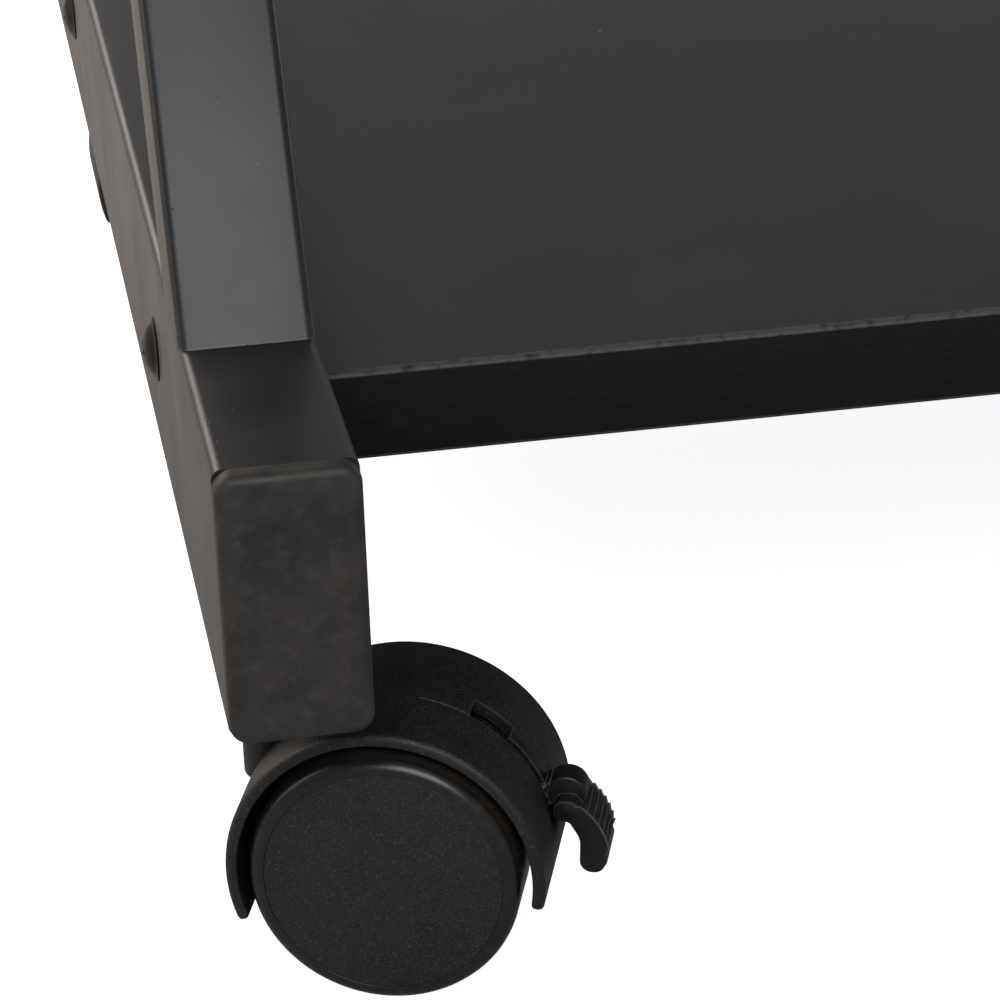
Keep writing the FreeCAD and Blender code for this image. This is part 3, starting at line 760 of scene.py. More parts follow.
for side in ("left", "right"):
    for kind in ("base_rail", "top_rail", "shelf_bar"):
        node = kind + "_" + side
        low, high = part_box(node)
        shape = hollow_bar((low.x, low.z), (high.x, high.z), lambda point: (point.x, low.y, point.y),
                           lambda point: (point.x, high.y, point.y))
        hand_over(into_object(node + ".tube", shape), "powder_coat", "frame", node)
low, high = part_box("cross_bar")
shape = hollow_bar((low.y, low.z), (high.y, high.z), lambda point: (low.x, point.x, point.y),
                   lambda point: (high.x, point.x, point.y))
hand_over(into_object("cross_bar.tube", shape), "powder_coat", "frame", "cross_bar")
print("straight tubes made")

# %% [markdown]
# ## The leaning posts
#
# Each post leans back from the front of the base rail to the rear of the top rail, and both its
# ends are mitred level. Its lean isn't written down: it follows from the box that the post fills,
# because a tube of known width has to touch both ends of that box.

# %% Leaning posts
rise = size("post_left").z
span = size("post_left").y
lean = math.acos(tube_width / math.hypot(span, rise)) - math.atan2(rise, span)
along_post = Vector((0, math.sin(lean), math.cos(lean)))
across_post = Vector((0, math.cos(lean), -math.sin(lean)))


def mitred(point, foot, level):
    """Point of the post's section, slid along the post to a level."""
    place = foot + Vector((point.x, 0, 0)) + across_post * point.y
    return place + along_post * ((level - place.z) / along_post.z)


for side in ("left", "right"):
    low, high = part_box("post_" + side)
    foot = Vector((low.x, low.y, low.z))
    shape = hollow_bar((0, 0), (tube_width, tube_width), lambda point: mitred(point, foot, low.z),
                       lambda point: mitred(point, foot, high.z))
    hand_over(into_object("post_" + side + ".tube", shape), "powder_coat", "frame", "post_" + side)
print("posts lean", round(math.degrees(lean), 2), "degrees")

# %% [markdown]
# ## Weld beads
#
# The posts and shelf bars are welded on. A bead is a row of overlapping puddles, so it is built as
# a rod in a corner whose radius swells and shrinks along its length. The beads sit where a welder
# can reach and a buyer won't look: behind the foot of the post, under its head and beside the bars.

# %% Weld beads
bead_radius = 1.9 * mm


def weld_bead(name, start, stop):
    """Rippled rod between two points in a corner."""
    run = stop - start
    turn = run.to_track_quat("Y", "Z").to_matrix().to_4x4()
    ripples = round(run.length / (1.3 * mm))
    steps = ripples * 6
    outline = [(0, 0)]
    for step in range(1, steps):
        share = step / steps
        ripple = 0.86 + 0.14 * abs(math.sin(math.pi * ripples * share))
        ends = min(1.0, 6 * min(share, 1 - share)) ** 0.5
        outline.append((bead_radius * ripple * ends, run.length * share))
    outline.append((0, run.length))
    shape = lathe(outline, 20)
    return hand_over(into_object(name, shape, Matrix.Translation(start) @ turn, 60), "powder_coat", "frame")


bead_gap = 2 * mm
for side in ("left", "right"):
    low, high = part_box("post_" + side)
    depth = tube_width / math.cos(lean)
    for name, y, z in (("foot", low.y + depth, low.z), ("head", high.y - depth, high.z)):
        weld_bead("weld_%s_%s" % (name, side), Vector((low.x + bead_gap, y, z)),
                  Vector((high.x - bead_gap, y, z)))
    bar_low, bar_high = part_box("shelf_bar_" + side)
    inner_x = bar_low.x if side == "left" else bar_high.x
    level = bar_low.z
    front = low.y + math.tan(lean) * (level - low.z)
    weld_bead("weld_bar_" + side, Vector((inner_x, front + bead_gap, level)),
              Vector((inner_x, front + depth - bead_gap, level)))
print("weld beads", sum(made.name.startswith("weld_") for made in scene_objects))

# %% [markdown]
# ## End caps
#
# An end cap is one soft moulding: a flange that covers the sawn tube end, and a hollow plug with
# ribs that grip the wall inside. The flange is a loft of rounded rectangles that steps inwards
# along a quarter circle, which gives the soft edge that catches the light. The flange's corners are
# rounder than the tube's.

# %% End cap builder
flange_corner = 3.5 * mm
flange_edge = 1.8 * mm


def end_cap_mesh(width, height, flange, plug):
    """Cap whose flange runs from y = 0 to -flange and whose plug runs to +plug, low corner at 0."""
    inset = tube_wall + 0.3 * mm
    wall = 1.8 * mm

    def ring(y, step_in, radius):
        section = rounded_rectangle((step_in, step_in), (width - step_in, height - step_in), radius, 8)
        return [(point.x, y, point.y) for point in section]

    rounding = min(flange_edge, flange * 0.6)
    corner = min(flange_corner, width / 6)
    loops = [ring(1.5 * mm, inset + wall, 0.5 * mm), ring(plug, inset + wall, 0.5 * mm),
             ring(plug, inset, 1.0 * mm)]
    for n in range(3):
        y = plug * (3 - n) / 4
        loops += [ring(y + 1.0 * mm, inset, 1.0 * mm), ring(y + 0.7 * mm, tube_wall, 1.2 * mm),
                  ring(y, inset, 1.0 * mm)]
    loops += [ring(0.0, inset, 1.0 * mm), ring(0.0, 0.25 * mm, corner), ring(-0.25 * mm, 0.0, corner)]
    steps = 7
    for step in range(steps + 1):
        angle = math.pi / 2 * step / steps
        step_in = rounding * (1 - math.cos(angle))
        y = -flange + rounding * (1 - math.sin(angle))
        loops.append(ring(y, step_in, corner - step_in * 0.6))
    crown = 0.12 * mm
    for share in (0.35, 0.7):
        step_in = rounding + (width / 2 - rounding) * share * 0.8
        loops.append(ring(-flange + crown * (1 - share) * 0.5, step_in, max(corner - rounding, 0.8 * mm)))
    return loft(loops)


for corner in ("front_left", "front_right", "rear_left", "rear_right"):
    node = "base_cap_" + corner
    low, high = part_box(node)
    flange = abs(design_box[0].y) - size("base_rail_left").y / 2
    plug = size(node).y - flange
    shape = end_cap_mesh(size(node).x, size(node).z, flange, plug)
    if corner.startswith("front"):
        place = Matrix.Translation((low.x, low.y + flange, low.z))
    else:
        place = Matrix.Translation((high.x, high.y - flange, low.z)) @ Matrix.Rotation(math.pi, 4, "Z")
    hand_over(into_object(node + ".moulding", shape, place), "cap_plastic", "frame", node)
print("base caps made, flange", round(flange / mm, 2), "mm thick")

# %% [markdown]
# ## The small caps
#
# The top rails and the shelf bars have the same cap in smaller sizes. The model keeps each set of
# four as one node, so their four mouldings are joined into one piece as well.

# %% Small end caps


def join(name, pieces):
    """One object from several, keeping each one's own mesh."""
    with bpy.context.temp_override(active_object=pieces[0], selected_editable_objects=pieces):
        bpy.ops.object.join()
    pieces[0].name = name
    return pieces[0]


def four_caps(node, tube_node, width, height, flange, plug):
    """Caps on both ends of a tube and of its twin on the other side."""
    mouldings = []
    low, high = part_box(tube_node)
    for x in (low.x, -high.x):
        front = Matrix.Translation((x, low.y, low.z))
        rear = Matrix.Translation((x + width, high.y, low.z)) @ Matrix.Rotation(math.pi, 4, "Z")
        for place in (front, rear):
            mouldings.append(into_object(node, end_cap_mesh(width, height, flange, plug), place))
    return hand_over(join(node + ".mouldings", mouldings), "cap_plastic", "frame", node)


for node, tube_node, plug in (("top_caps", "top_rail_left", 18 * mm),
                              ("shelf_bar_caps", "shelf_bar_left", 12 * mm)):
    room = size(tube_node)
    four_caps(node, tube_node, room.x, room.z, size(node).y / 2 - room.y / 2, plug)
print("small caps made")

# %% [markdown]
# ## Boards and their edge bands
#
# Each board is a core with a plastic band round its rim. The band is glued on with a little
# overhang and then trimmed by a rounding cutter, so its outer edges are small quarter circles. The
# band is a closed loft: every point of its section becomes one rounded rectangle round the board.
# The core gets a hairline chamfer, which leaves the fine glue line between board and band.

# %% Boards and bands
trim_radius = 1.05 * mm


def round_the_board(low, high, outwards, level):
    """Rounded rectangle round a board's core, moved outwards, at a level."""
    outline = rounded_rectangle((low.x - outwards, low.y - outwards),
                                (high.x + outwards, high.y + outwards), 0.4 * mm + outwards, 4)
    return [(point.x, point.y, level) for point in outline]


for board in ("bottom", "middle", "top"):
    core_low, core_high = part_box(board + "_board")
    band_thick = core_low.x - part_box(board + "_edge_band")[0].x
    chamfer = 0.12 * mm
    loops = [round_the_board(core_low, core_high, -chamfer, core_low.z),
             round_the_board(core_low, core_high, 0, core_low.z + chamfer),
             round_the_board(core_low, core_high, 0, core_high.z - chamfer),
             round_the_board(core_low, core_high, -chamfer, core_high.z)]
    hand_over(into_object(board + "_board.panel", loft(loops)), "melamine", "frame", board + "_board")
    section = rounded_outline([(0, core_low.z, 0), (band_thick, core_low.z, trim_radius),
                               (band_thick, core_high.z, trim_radius), (0, core_high.z, 0)], 5)
    loops = [round_the_board(core_low, core_high, point.x, point.y) for point in section]
    hand_over(into_object(board + "_edge_band.strip", loft(loops, closed=True)), "edge_band", "frame",
              board + "_edge_band")
print("boards made, band", round(band_thick / mm, 2), "mm thick")

# %% [markdown]
# ## Screws and bolts
#
# Every screw has a wide truss head, a thin rim and a cross recess. The head and shank are one
# lathe outline; the recess is cut with a tapered cross, because a real driver leaves flat, slanted
# flanks that a painted cross could not show. One screw is made per length and then copied to its
# places.

# %% Screw builder
head_radius = 6.5 * mm
head_height = 2.8 * mm
recess_depth = 1.7 * mm


def cross_cutter():
    """Tapered cross, wide at the head's top and narrow at the bottom of the recess."""
    wide, narrow = 2.8 * mm, 1.5 * mm
    thick, thin = 0.62 * mm, 0.42 * mm
    levels = ((-head_height - 0.5 * mm, wide, thick), (-head_height + recess_depth, narrow, thin))
    loops = []
    for along, reach, half in levels:
        cross = []
        for quarter in range(4):
            turn = Matrix.Rotation(math.pi / 2 * quarter, 2)
            cross += [turn @ Vector(corner) for corner in ((reach, -half), (reach, half), (half, half))]
        loops.append([(point.x, along, point.y) for point in cross])
    return into_object("cross_cutter", loft(loops))


def truss_screw(length, shank_radius):
    """Screw along +Y with the underside of its head at y = 0."""
    ball = (head_radius ** 2 + head_height ** 2) / (2 * head_height)
    rim = 0.35 * mm
    outline = []
    dome_steps = 10
    for step in range(dome_steps + 1):
        reach = head_radius * step / dome_steps
        outline.append((reach, min(ball - head_height - math.sqrt(ball ** 2 - reach ** 2), -rim)))
    outline += [(head_radius - 0.15 * mm, 0), (shank_radius, 0)]
    pitch = 1.8 * mm
    turns = int((length - 3 * mm) / pitch)
    for turn in range(2, turns):
        y = turn * pitch
        outline += [(shank_radius * 0.8, y), (shank_radius, y + pitch * 0.5)]
    outline += [(shank_radius * 0.8, length - 3 * mm), (0, length)]
    return combine(into_object("screw", lathe(outline, 48)), cross_cutter(), "DIFFERENCE")


def copies(name, original, places):
    """Join copies of one object, one at each place, and throw the original away."""
    made = []
    for place in places:
        twin = original.copy()
        twin.data = original.data.copy()
        twin.data.transform(place)
        scene_objects.link(twin)
        made.append(twin)
    bpy.data.objects.remove(original)
    return join(name, made)


print("screw builder ready")

# %% [markdown]
# ## Where the screws go
#
# The model's own screw sets say where they are: the four corners of a set's box. Screws that stand
# upright turn the lathe's axis up; screws through the rails turn it sideways, left or right.

# %% Place the screws
upright = Matrix.Rotation(math.pi / 2, 4, "X")
inwards = {-1: Matrix.Rotation(-math.pi / 2, 4, "Z"), 1: Matrix.Rotation(math.pi / 2, 4, "Z")}

for node, tube_node in (("middle_board_screws", "shelf_bar_left"), ("top_board_screws", "top_rail_left")):
    low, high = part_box(node)
    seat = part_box(tube_node)[0].z
    places = [Matrix.Translation((x, y, seat)) @ upright
              for x in (low.x + head_radius, high.x - head_radius)
              for y in (low.y + head_radius, high.y - head_radius)]
    screw = truss_screw(high.z - seat, 2.5 * mm)
    hand_over(copies(node + ".set", screw, places), "black_zinc", "frame", node)

outer_x = abs(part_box("base_rail_left")[0].x)
for node, shank, length in (("bottom_board_screws", 2.5 * mm, 63 * mm),
                            ("cross_bar_bolts", 3 * mm, 43 * mm)):
    low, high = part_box(node)
    rows = sorted({round(low.y + head_radius, 6), round(high.y - head_radius, 6)})
    places = [Matrix.Translation((side * outer_x, y, (low.z + high.z) / 2)) @ inwards[side]
              for side in (-1, 1) for y in rows]
    hand_over(copies(node + ".set", truss_screw(length, shank), places), "black_zinc", "frame", node)
print("screws placed")

# %% [markdown]
# ## Casters: one drawing, four places
#
# Every caster is drawn once, about its own axle: X points away from the stem, Y lies along the axle
# and Z is up. The model's stem and axle give each caster's place and turn, so the same drawing is
# simply moved to all four corners.

# %% Caster places
corners = ("front_left", "front_right", "rear_left", "rear_right")


def stem_to_axle(corner):
    reach = middle(corner + "_axle") - middle(corner + "_stem")
    return Vector((reach.x, reach.y, 0))


def caster_place(corner):
    reach = stem_to_axle(corner)
    turned = Matrix.Rotation(math.atan2(reach.y, reach.x), 4, "Z")
    return Matrix.Translation(middle(corner + "_axle")) @ turned


def fit_to_corner(made, corner, name, finish, body):
    """Move a piece that was drawn about the axle to its corner, and hand it over."""
    made.data.transform(caster_place(corner))
    made.name = corner + "_" + name
    hand_over(made, finish, corner + "_" + body, made.name.split(".")[0])


trail = stem_to_axle("front_left").length
wheel_radius = size("rear_left_wheel_a").z / 2
print("trail", round(trail / mm, 2), "mm, wheel radius", round(wheel_radius / mm, 2), "mm")

# %% [markdown]
# ## Wheels
#
# A wheel is a cup: a tread, a disc near its outer face and a hub that runs on the axle. It is turned
# on the lathe from one outline. The tread's outer edge has a generous radius, which carries the
# bright arc of light round the wheel, and a lip stands round the recess for the cover.

# %% Wheel
cover_radius = 22.0 * mm
wheel_inner = 3.4 * mm
wheel_outer = 20.5 * mm
disc_outer = 18.4 * mm
disc_inner = 15.6 * mm
bore_end = 16.8 * mm
hub_radius = 6.5 * mm
tread_inner = 21.2 * mm
axle_radius = 3.0 * mm
bore_radius = axle_radius + 0.05 * mm


def in_mm(outline):
    return [tuple(number * mm for number in corner) for corner in outline]


def wheel_mesh():
    outline = [(bore_radius, wheel_inner, 0), (bore_radius, bore_end, 0), (0, bore_end, 0),
               (0, disc_outer, 0), (cover_radius, disc_outer, 0), (cover_radius, wheel_outer, 0.12 * mm),
               (wheel_radius, wheel_outer, 2.6 * mm), (wheel_radius, wheel_inner, 1.0 * mm),
               (tread_inner, wheel_inner, 0.4 * mm), (tread_inner, disc_inner, 1.0 * mm),
               (hub_radius, disc_inner, 1.0 * mm), (hub_radius, wheel_inner, 0.3 * mm)]
    return lathe(rounded_outline(outline), 128)


for corner in corners:
    for letter, flip in (("a", math.pi), ("b", 0)):
        node = corner + "_wheel_" + letter
        place = caster_place(corner) @ Matrix.Rotation(flip, 4, "Z")
        hand_over(into_object(node + ".moulding", wheel_mesh(), place, 40), "wheel_nylon",
                  corner + "_roller_" + letter, node)
print("wheels turned: 8")

# %% [markdown]
# ## Wheel covers
#
# A thin grained disc snaps into each wheel. Its rim is eased, so a fine groove shows between disc
# and wheel. The mould left one low L-shaped line on the disc's face; it is raised geometry here,
# and each cover is turned to its own angle as wheels stop where they stop.

# %% Covers
cover_face = 20.42 * mm


def cover_mesh():
    fit = cover_radius - 0.02 * mm
    crown = 0.06 * mm
    disc = lathe(rounded_outline([(0, disc_outer, 0), (fit, disc_outer, 0), (fit, cover_face, 0.16 * mm),
                                  (0, cover_face + crown, 0)]), 128)
    line_width = 0.16 * mm
    line_from = Vector((-15.0 * mm, cover_face, -14.2 * mm))
    for along, length in (("X", 18.0 * mm), ("Z", 2.3 * mm)):
        run = Vector((length, 0, 0)) if along == "X" else Vector((0, 0, length))
        line_to = line_from + run + Vector((line_width, 2 * crown, line_width))
        line = block(line_from, line_to, line_width * 0.3, along)
        held = bpy.data.meshes.new("line")
        line.to_mesh(held)
        line.free()
        disc.from_mesh(held)
        bpy.data.meshes.remove(held)
    return disc


for number, corner in enumerate(corners):
    for letter, flip in (("a", math.pi), ("b", 0)):
        node = corner + "_cover_" + letter
        stopped = Matrix.Rotation(0 if number == 0 and letter == "a" else 1.3 * number + 0.7 * flip, 4, "Y")
        place = caster_place(corner) @ Matrix.Rotation(flip, 4, "Z") @ stopped
        hand_over(into_object(node + ".disc", cover_mesh(), place, 40), "cover_nylon",
                  corner + "_roller_" + letter, node)
print("covers made: 8")

# %% [markdown]
# ## The hood as a map
#
# The hood is an arched shell with openings: a window, a notch for the lever, a shallow channel.
# Cutting them with booleans leaves ragged faces on the curve. It is cleaner to draw the shell as an
# unrolled map whose rows are angles and whose columns are places along the axle. Every cell of the
# map has a level, the radius of its outer skin, or it is open. Faces are laid between the cells,
# with walls wherever two neighbours differ, and the mesh comes out closed and made of quads.

# %% Shell from a map of levels


def shell_from_map(angles, widths, inner, level):
    """Closed shell about the Y axis. level(angle, width) is a cell's outer radius, or None if open."""
    shape = bmesh.new()
    made = {}
    rows, columns = len(angles) - 1, len(widths) - 1
    levels = {}
    for i in range(rows):
        for j in range(columns):
            levels[i, j] = level((angles[i] + angles[i + 1]) / 2, (widths[j] + widths[j + 1]) / 2)

    def corner(i, j, radius):
        key = (i, j, round(radius, 7))
        if key not in made:
            angle = math.radians(angles[i])
            made[key] = shape.verts.new((radius * math.cos(angle), widths[j], radius * math.sin(angle)))
        return made[key]

    def between(i, j, low, high):
        """Levels met at a corner of the map between two radii."""
        around = {levels.get((i + a, j + b)) for a in (-1, 0) for b in (-1, 0)}
        return sorted(r for r in around if r is not None and low + 1e-7 < r < high - 1e-7)

    def wall(first, second, one, other):
        one, other = one or inner, other or inner
        low, high = min(one, other), max(one, other)
        if high - low < 1e-7:
            return
        up = [low] + between(*first, low, high) + [high]
        down = [low] + between(*second, low, high) + [high]
        shape.faces.new([corner(*first, r) for r in up] + [corner(*second, r) for r in down[::-1]])

    for (i, j), top in levels.items():
        if top is not None:
            for radius in (inner, top):
                shape.faces.new([corner(i, j, radius), corner(i + 1, j, radius),
                                 corner(i + 1, j + 1, radius), corner(i, j + 1, radius)])
        wall((i, j), (i, j + 1), top, levels.get((i - 1, j)))
        wall((i, j), (i + 1, j), top, levels.get((i, j - 1)))
        if i == rows - 1:
            wall((i + 1, j), (i + 1, j + 1), top, None)
        if j == columns - 1:
            wall((i, j + 1), (i + 1, j + 1), top, None)
    bmesh.ops.recalc_face_normals(shape, faces=shape.faces)
    return shape


def filled_in(stops, longest):
    """Stops with even steps between them, none longer than a limit."""
    every = [stops[0]]
    for start, stop in zip(stops, stops[1:]):
        steps = max(1, math.ceil((stop - start) / longest))
        every += [start + (stop - start) * step / steps for step in range(1, steps + 1)]
    return every


print("map builder ready")

# %% [markdown]
# ## Rounding the hood's edges
#
# The rims and the two tips of the hood are moulded round and rubbed pale, while the window's edges
# are nearly crisp. A bevel modifier can do both at once when every edge carries its own weight.

# %% Bevel by weight


def soften(made, width, weigh):
    """Bevel each edge by its weight times a width. weigh(edge) gives the weight."""
    shape = bmesh.new()
    shape.from_mesh(made.data)
    weights = shape.edges.layers.float.new("bevel_weight_edge")
    for edge in shape.edges:
        if len(edge.link_faces) == 2 and edge.calc_face_angle(0) > math.radians(28):
            edge[weights] = weigh(edge)
    shape.to_mesh(made.data)
    shape.free()
    step = made.modifiers.new("rounding", "BEVEL")
    step.limit_method = "WEIGHT"
    step.width = width
    step.segments = 4
    step.use_clamp_overlap = False
    return settle(made)


print("weighted bevel ready")

# %% [markdown]
# ## Hood
#
# The hood covers both wheels, carries the axle in a web between them, and has a boss on its back
# for the stem. On the front casters a window, an opening and a channel make room for the lever. The
# channel and the fine flash line beside the window are levels of the map; web, boss and lugs are
# fused to the shell, as they are one moulding.

# %% Hood builder
hood_radius = 29.5 * mm
hood_inner = 27.2 * mm
hood_half = 19.3 * mm
hood_from, hood_to = -10.3, 200.8
window = (44.0, 61.0)
notch_half = 3.05 * mm
notch = (11.0, 31.0)
channel_half = 2.7 * mm
web_half = 2.5 * mm
web_lowest = -3.5 * mm
web_lobe = 8 * mm
tongue_room = 22 * mm
window_room = 19 * mm
flash_width = 0.12 * mm
flash_to = 80
map_step = 2.5
lever_angle = 19.4
lever_radius = 28.3 * mm
boss_radius = 7.0 * mm
stem_radius = 4.0 * mm


def braked_level(angle, width):
    across = abs(width)
    if (window[0] < angle < window[1] or notch[0] < angle < notch[1]) and across < notch_half:
        return None
    if notch[1] < angle < window[0] and across < channel_half:
        return hood_radius - 0.5 * mm
    if window[1] < angle < flash_to and -notch_half - flash_width < width < -notch_half:
        return hood_radius + 0.05 * mm
    return hood_radius


def plain_level(angle, width):
    return hood_radius


def arc(radius, first, last):
    """Points of an arc about the axle, as (x, z)."""
    steps = max(1, math.ceil(abs(last - first) / map_step))
    turns = [math.radians(first + (last - first) * n / steps) for n in range(steps + 1)]
    return [(radius * math.cos(turn), radius * math.sin(turn)) for turn in turns]


def plate(outline, half):
    """Flat plate across the axle from an (x, z) outline."""
    return into_object("plate", loft([[(x, y, z) for x, z in outline] for y in (-half, half)]))


def web_outline(braked):
    def lowest_turn(radius):
        return math.degrees(math.asin(web_lowest / radius))

    reach = hood_inner + 0.4 * mm
    start = lowest_turn(reach)
    if braked:
        top = arc(tongue_room, lowest_turn(tongue_room), notch[1])
        top += arc(reach, notch[1], window[0]) + arc(window_room, *window)
        top += arc(reach, window[1], 180 - start)
    else:
        top = arc(reach, start, 180 - start)
    bottom = lowest_turn(web_lobe)
    return top + arc(web_lobe, -180 - bottom, bottom)


def pillar(radius, low, high, rounding=0.0):
    """Upright cylinder on the stem's axis."""
    outline = [(0, low, 0), (radius, low, 0), (radius, high, rounding), (0, high, 0)]
    upright = Matrix.Translation((-trail, 0, 0)) @ Matrix.Rotation(math.pi / 2, 4, "X")
    return into_object("pillar", lathe(rounded_outline(outline), 64), upright)


def bent_bar(inner, outer, low, high, first, last, edge=0.2 * mm):
    """Bar with rounded corners bent about the axle between two angles."""
    section = rounded_rectangle((inner, low), (outer, high), edge, 2)
    loops = []
    for angle in filled_in([first, last], 3.0):
        turn = math.radians(angle)
        loops.append([(point.x * math.cos(turn), point.y, point.x * math.sin(turn)) for point in section])
    return into_object("bar", loft(loops))


def hood_object(braked):
    low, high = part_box("front_left_hood")
    boss_top = high.z - middle("front_left_axle").z
    if braked:
        stops = [hood_from, *notch, *window, flash_to, hood_to]
        halves = {channel_half, notch_half, hood_half}
        widths = sorted(halves | {-half for half in halves} | {-notch_half - flash_width})
    else:
        stops = [hood_from, hood_to]
        widths = [-hood_half, 0.0, hood_half]
    level = braked_level if braked else plain_level
    made = into_object("hood", shell_from_map(filled_in(stops, map_step), widths, hood_inner, level))

    def weigh(edge):
        radii = [math.hypot(vert.co.x, vert.co.z) for vert in edge.verts]
        on_skin = min(radii) > hood_radius - 0.1 * mm
        on_rim = all(abs(abs(vert.co.y) - hood_half) < 1e-6 for vert in edge.verts)
        turns = [math.degrees(math.atan2(v.co.z, v.co.x)) % 360 for v in edge.verts]
        at_tip = all(abs(t - hood_from % 360) < 0.1 or abs(t - hood_to) < 0.1 for t in turns)
        if max(radii) > hood_radius + 0.01 * mm:
            return 0.0
        if on_rim and at_tip:
            return 0.7
        if on_rim:
            return 1.0 if on_skin else 0.35
        if at_tip:
            return 0.75
        return 0.14

    soften(made, 1.25 * mm, weigh)
    combine(made, plate(web_outline(braked), web_half), "UNION")
    boss = pillar(boss_radius, 12 * mm, boss_top, 0.9 * mm)
    room, past = hood_inner + 0.5 * mm, 30 * mm
    combine(boss, into_object("room", lathe([(0, -past), (room, -past), (room, past), (0, past)], 144)),
            "DIFFERENCE")
    combine(made, boss, "UNION")
    if braked:
        for lug_low in (-6.2 * mm, 3.1 * mm):
            combine(made, bent_bar(25.9 * mm, hood_inner + 0.6 * mm, lug_low, lug_low + 3.1 * mm,
                                   lever_angle - 6, lever_angle + 6), "UNION")
    combine(made, pillar(stem_radius + 0.05 * mm, 23.5 * mm, boss_top + 1 * mm), "DIFFERENCE")
    return made


for corner in corners:
    moulding = hood_object(corner + "_lever" in frame["nodes"])
    fit_to_corner(moulding, corner, "hood.moulding", "hood_nylon", "caster")
    print(moulding.name, "faces", len(moulding.data.polygons))

# %% [markdown]
# ## Toe lever
#
# The lever is one small moulding: a drum at the top, a pedal with stepped ribs for the shoe, a hook
# below it to lift the pedal with the toe, and a thin arm that runs in the hood's channel. The ribs
# are too small to bevel, so the pedal is a loft of side views that shrink towards both ends: the
# ribs fade out and their ends come out round, as they do in a mould. The mould also has a parting
# line across the ribs, so one part of them stands a hair higher than the other.

# %% Pedal
pedal_half = 5.8 * mm
rib_count = 6
rib_height = 0.5 * mm
rib_bend = [Vector(corner) * mm for corner in ((34.3, 8.9), (38.3, 5.7), (39.2, 0.5))]
rib_profile = ((0.0, 0.0), (0.08, 0.05), (0.68, 0.85), (0.82, 1.0), (0.93, 0.75), (0.98, 0.1))
hook_and_back = in_mm([(39.5, -1.9, 2.0), (37.9, -4.7, 2.0), (33.9, -4.6, 2.3), (34.2, 2.3, 4.5),
                       (32.2, 5.7, 1.0), (29.3, 5.75, 2.0), (29.2, 10.2, 2.1), (33.4, 10.3, 1.6)])
# Side views across the pedal: place in mm from the near side, inset in mm, share of the ribs' height.
side_views = ((0.0, 0.5, 0.0), (0.14, 0.22, 0.0), (0.42, 0.05, 0.1), (0.9, 0.0, 0.55), (1.25, 0.0, 1.0),
              (6.9, 0.0, 1.0), (6.95, 0.0, 1.25), (11.2, 0.0, 1.25), (11.45, 0.12, 1.1), (11.6, 0.35, 0.7))


def rib_line(share):
    """Point of the bent line on which the ribs stand."""
    rest = 1 - share
    return rib_bend[0] * rest ** 2 + rib_bend[1] * 2 * share * rest + rib_bend[2] * share ** 2


def pedal_outline(inset, ribs):
    """Side view of the pedal, moved inwards by an inset, with ribs of a height."""
    outline = []
    for rib in range(rib_count):
        run = rib_line((rib + 1) / rib_count) - rib_line(rib / rib_count)
        outwards = Vector((run.y, -run.x)).normalized()
        for share, height in rib_profile:
            outline.append(rib_line((rib + share) / rib_count) + outwards * (height * ribs - inset))
    back = rounded_outline(hook_and_back, 6)
    for n, point in enumerate(back):
        run = back[min(n + 1, len(back) - 1)] - back[max(n - 1, 0)]
        outline.append(point + Vector((run.y, -run.x)).normalized() * inset)
    return outline


def pedal_object():
    loops = []
    for y, inset, ribs in side_views:
        side_view = pedal_outline(inset * mm, ribs * rib_height)
        loops.append([(point.x, y * mm - pedal_half, point.y) for point in side_view])
    return into_object("pedal", loft(loops), sharp=38)


print("points round the pedal", len(pedal_outline(0, rib_height)))

# %% [markdown]
# ## Lever, pins and stems
#
# The rest of the lever is turned and bent bars, fused to the pedal. The axle and the lever's pin
# are plain turned steel with chamfered ends. The stem has a hexagon for the spanner under the rail
# and a thread that goes up into it.

# %% Lever
tongue_half = 2.7 * mm
drum_radius = 3.7 * mm
drum_middle = Vector((31.5, 0, 9.9)) * mm


def drum(radius, half, centre, rounding=0.5 * mm, steps=72):
    outline = [(0, -half, 0), (radius, -half, rounding), (radius, half, rounding), (0, half, 0)]
    return into_object("drum", lathe(rounded_outline(outline), steps), Matrix.Translation(centre), 40)


def hinge_place():
    turn = math.radians(lever_angle)
    return Vector((lever_radius * math.cos(turn), 0, lever_radius * math.sin(turn)))


def lever_object():
    made = pedal_object()
    for more in (drum(drum_radius, 2.8 * mm, drum_middle),
                 drum(2.3 * mm, tongue_half, hinge_place(), 0.2 * mm),
                 bent_bar(27.3 * mm, 31.0 * mm, -tongue_half, tongue_half, lever_angle - 4, lever_angle + 4),
                 bent_bar(25.0 * mm, 26.9 * mm, -tongue_half, tongue_half, 2.0, lever_angle),
                 bent_bar(29.3 * mm, 30.1 * mm, -2.3 * mm, 2.3 * mm, lever_angle + 4, window[0] + 0.8)):
        combine(made, more, "UNION")
    combine(made, drum(1.15 * mm, 9 * mm, hinge_place(), 0.1 * mm, 32), "DIFFERENCE")
    return made


for corner in corners:
    if corner + "_lever" in frame["nodes"]:
        fit_to_corner(lever_object(), corner, "lever.moulding", "lever_nylon", "brake")
        pin = drum(1.1 * mm, 5.5 * mm, hinge_place(), 0.2 * mm, 32)
        fit_to_corner(pin, corner, "lever_pin.turned", "zinc_steel", "caster")
    axle = drum(axle_radius, 16.2 * mm, Vector((0, 0, 0)))
    fit_to_corner(axle, corner, "axle.turned", "zinc_steel", "caster")
print("levers, pins and axles made")

# %% Stems


def hexagon(across_flats, level, ease):
    """Outline of a hexagon with eased corners at a level."""
    reach = across_flats / math.sqrt(3)
    turns = [math.tau * n / 6 for n in range(6)]
    outline = [(reach * math.cos(turn), reach * math.sin(turn), ease) for turn in turns]
    return [(point.x, point.y, level) for point in rounded_outline(outline, 3)]


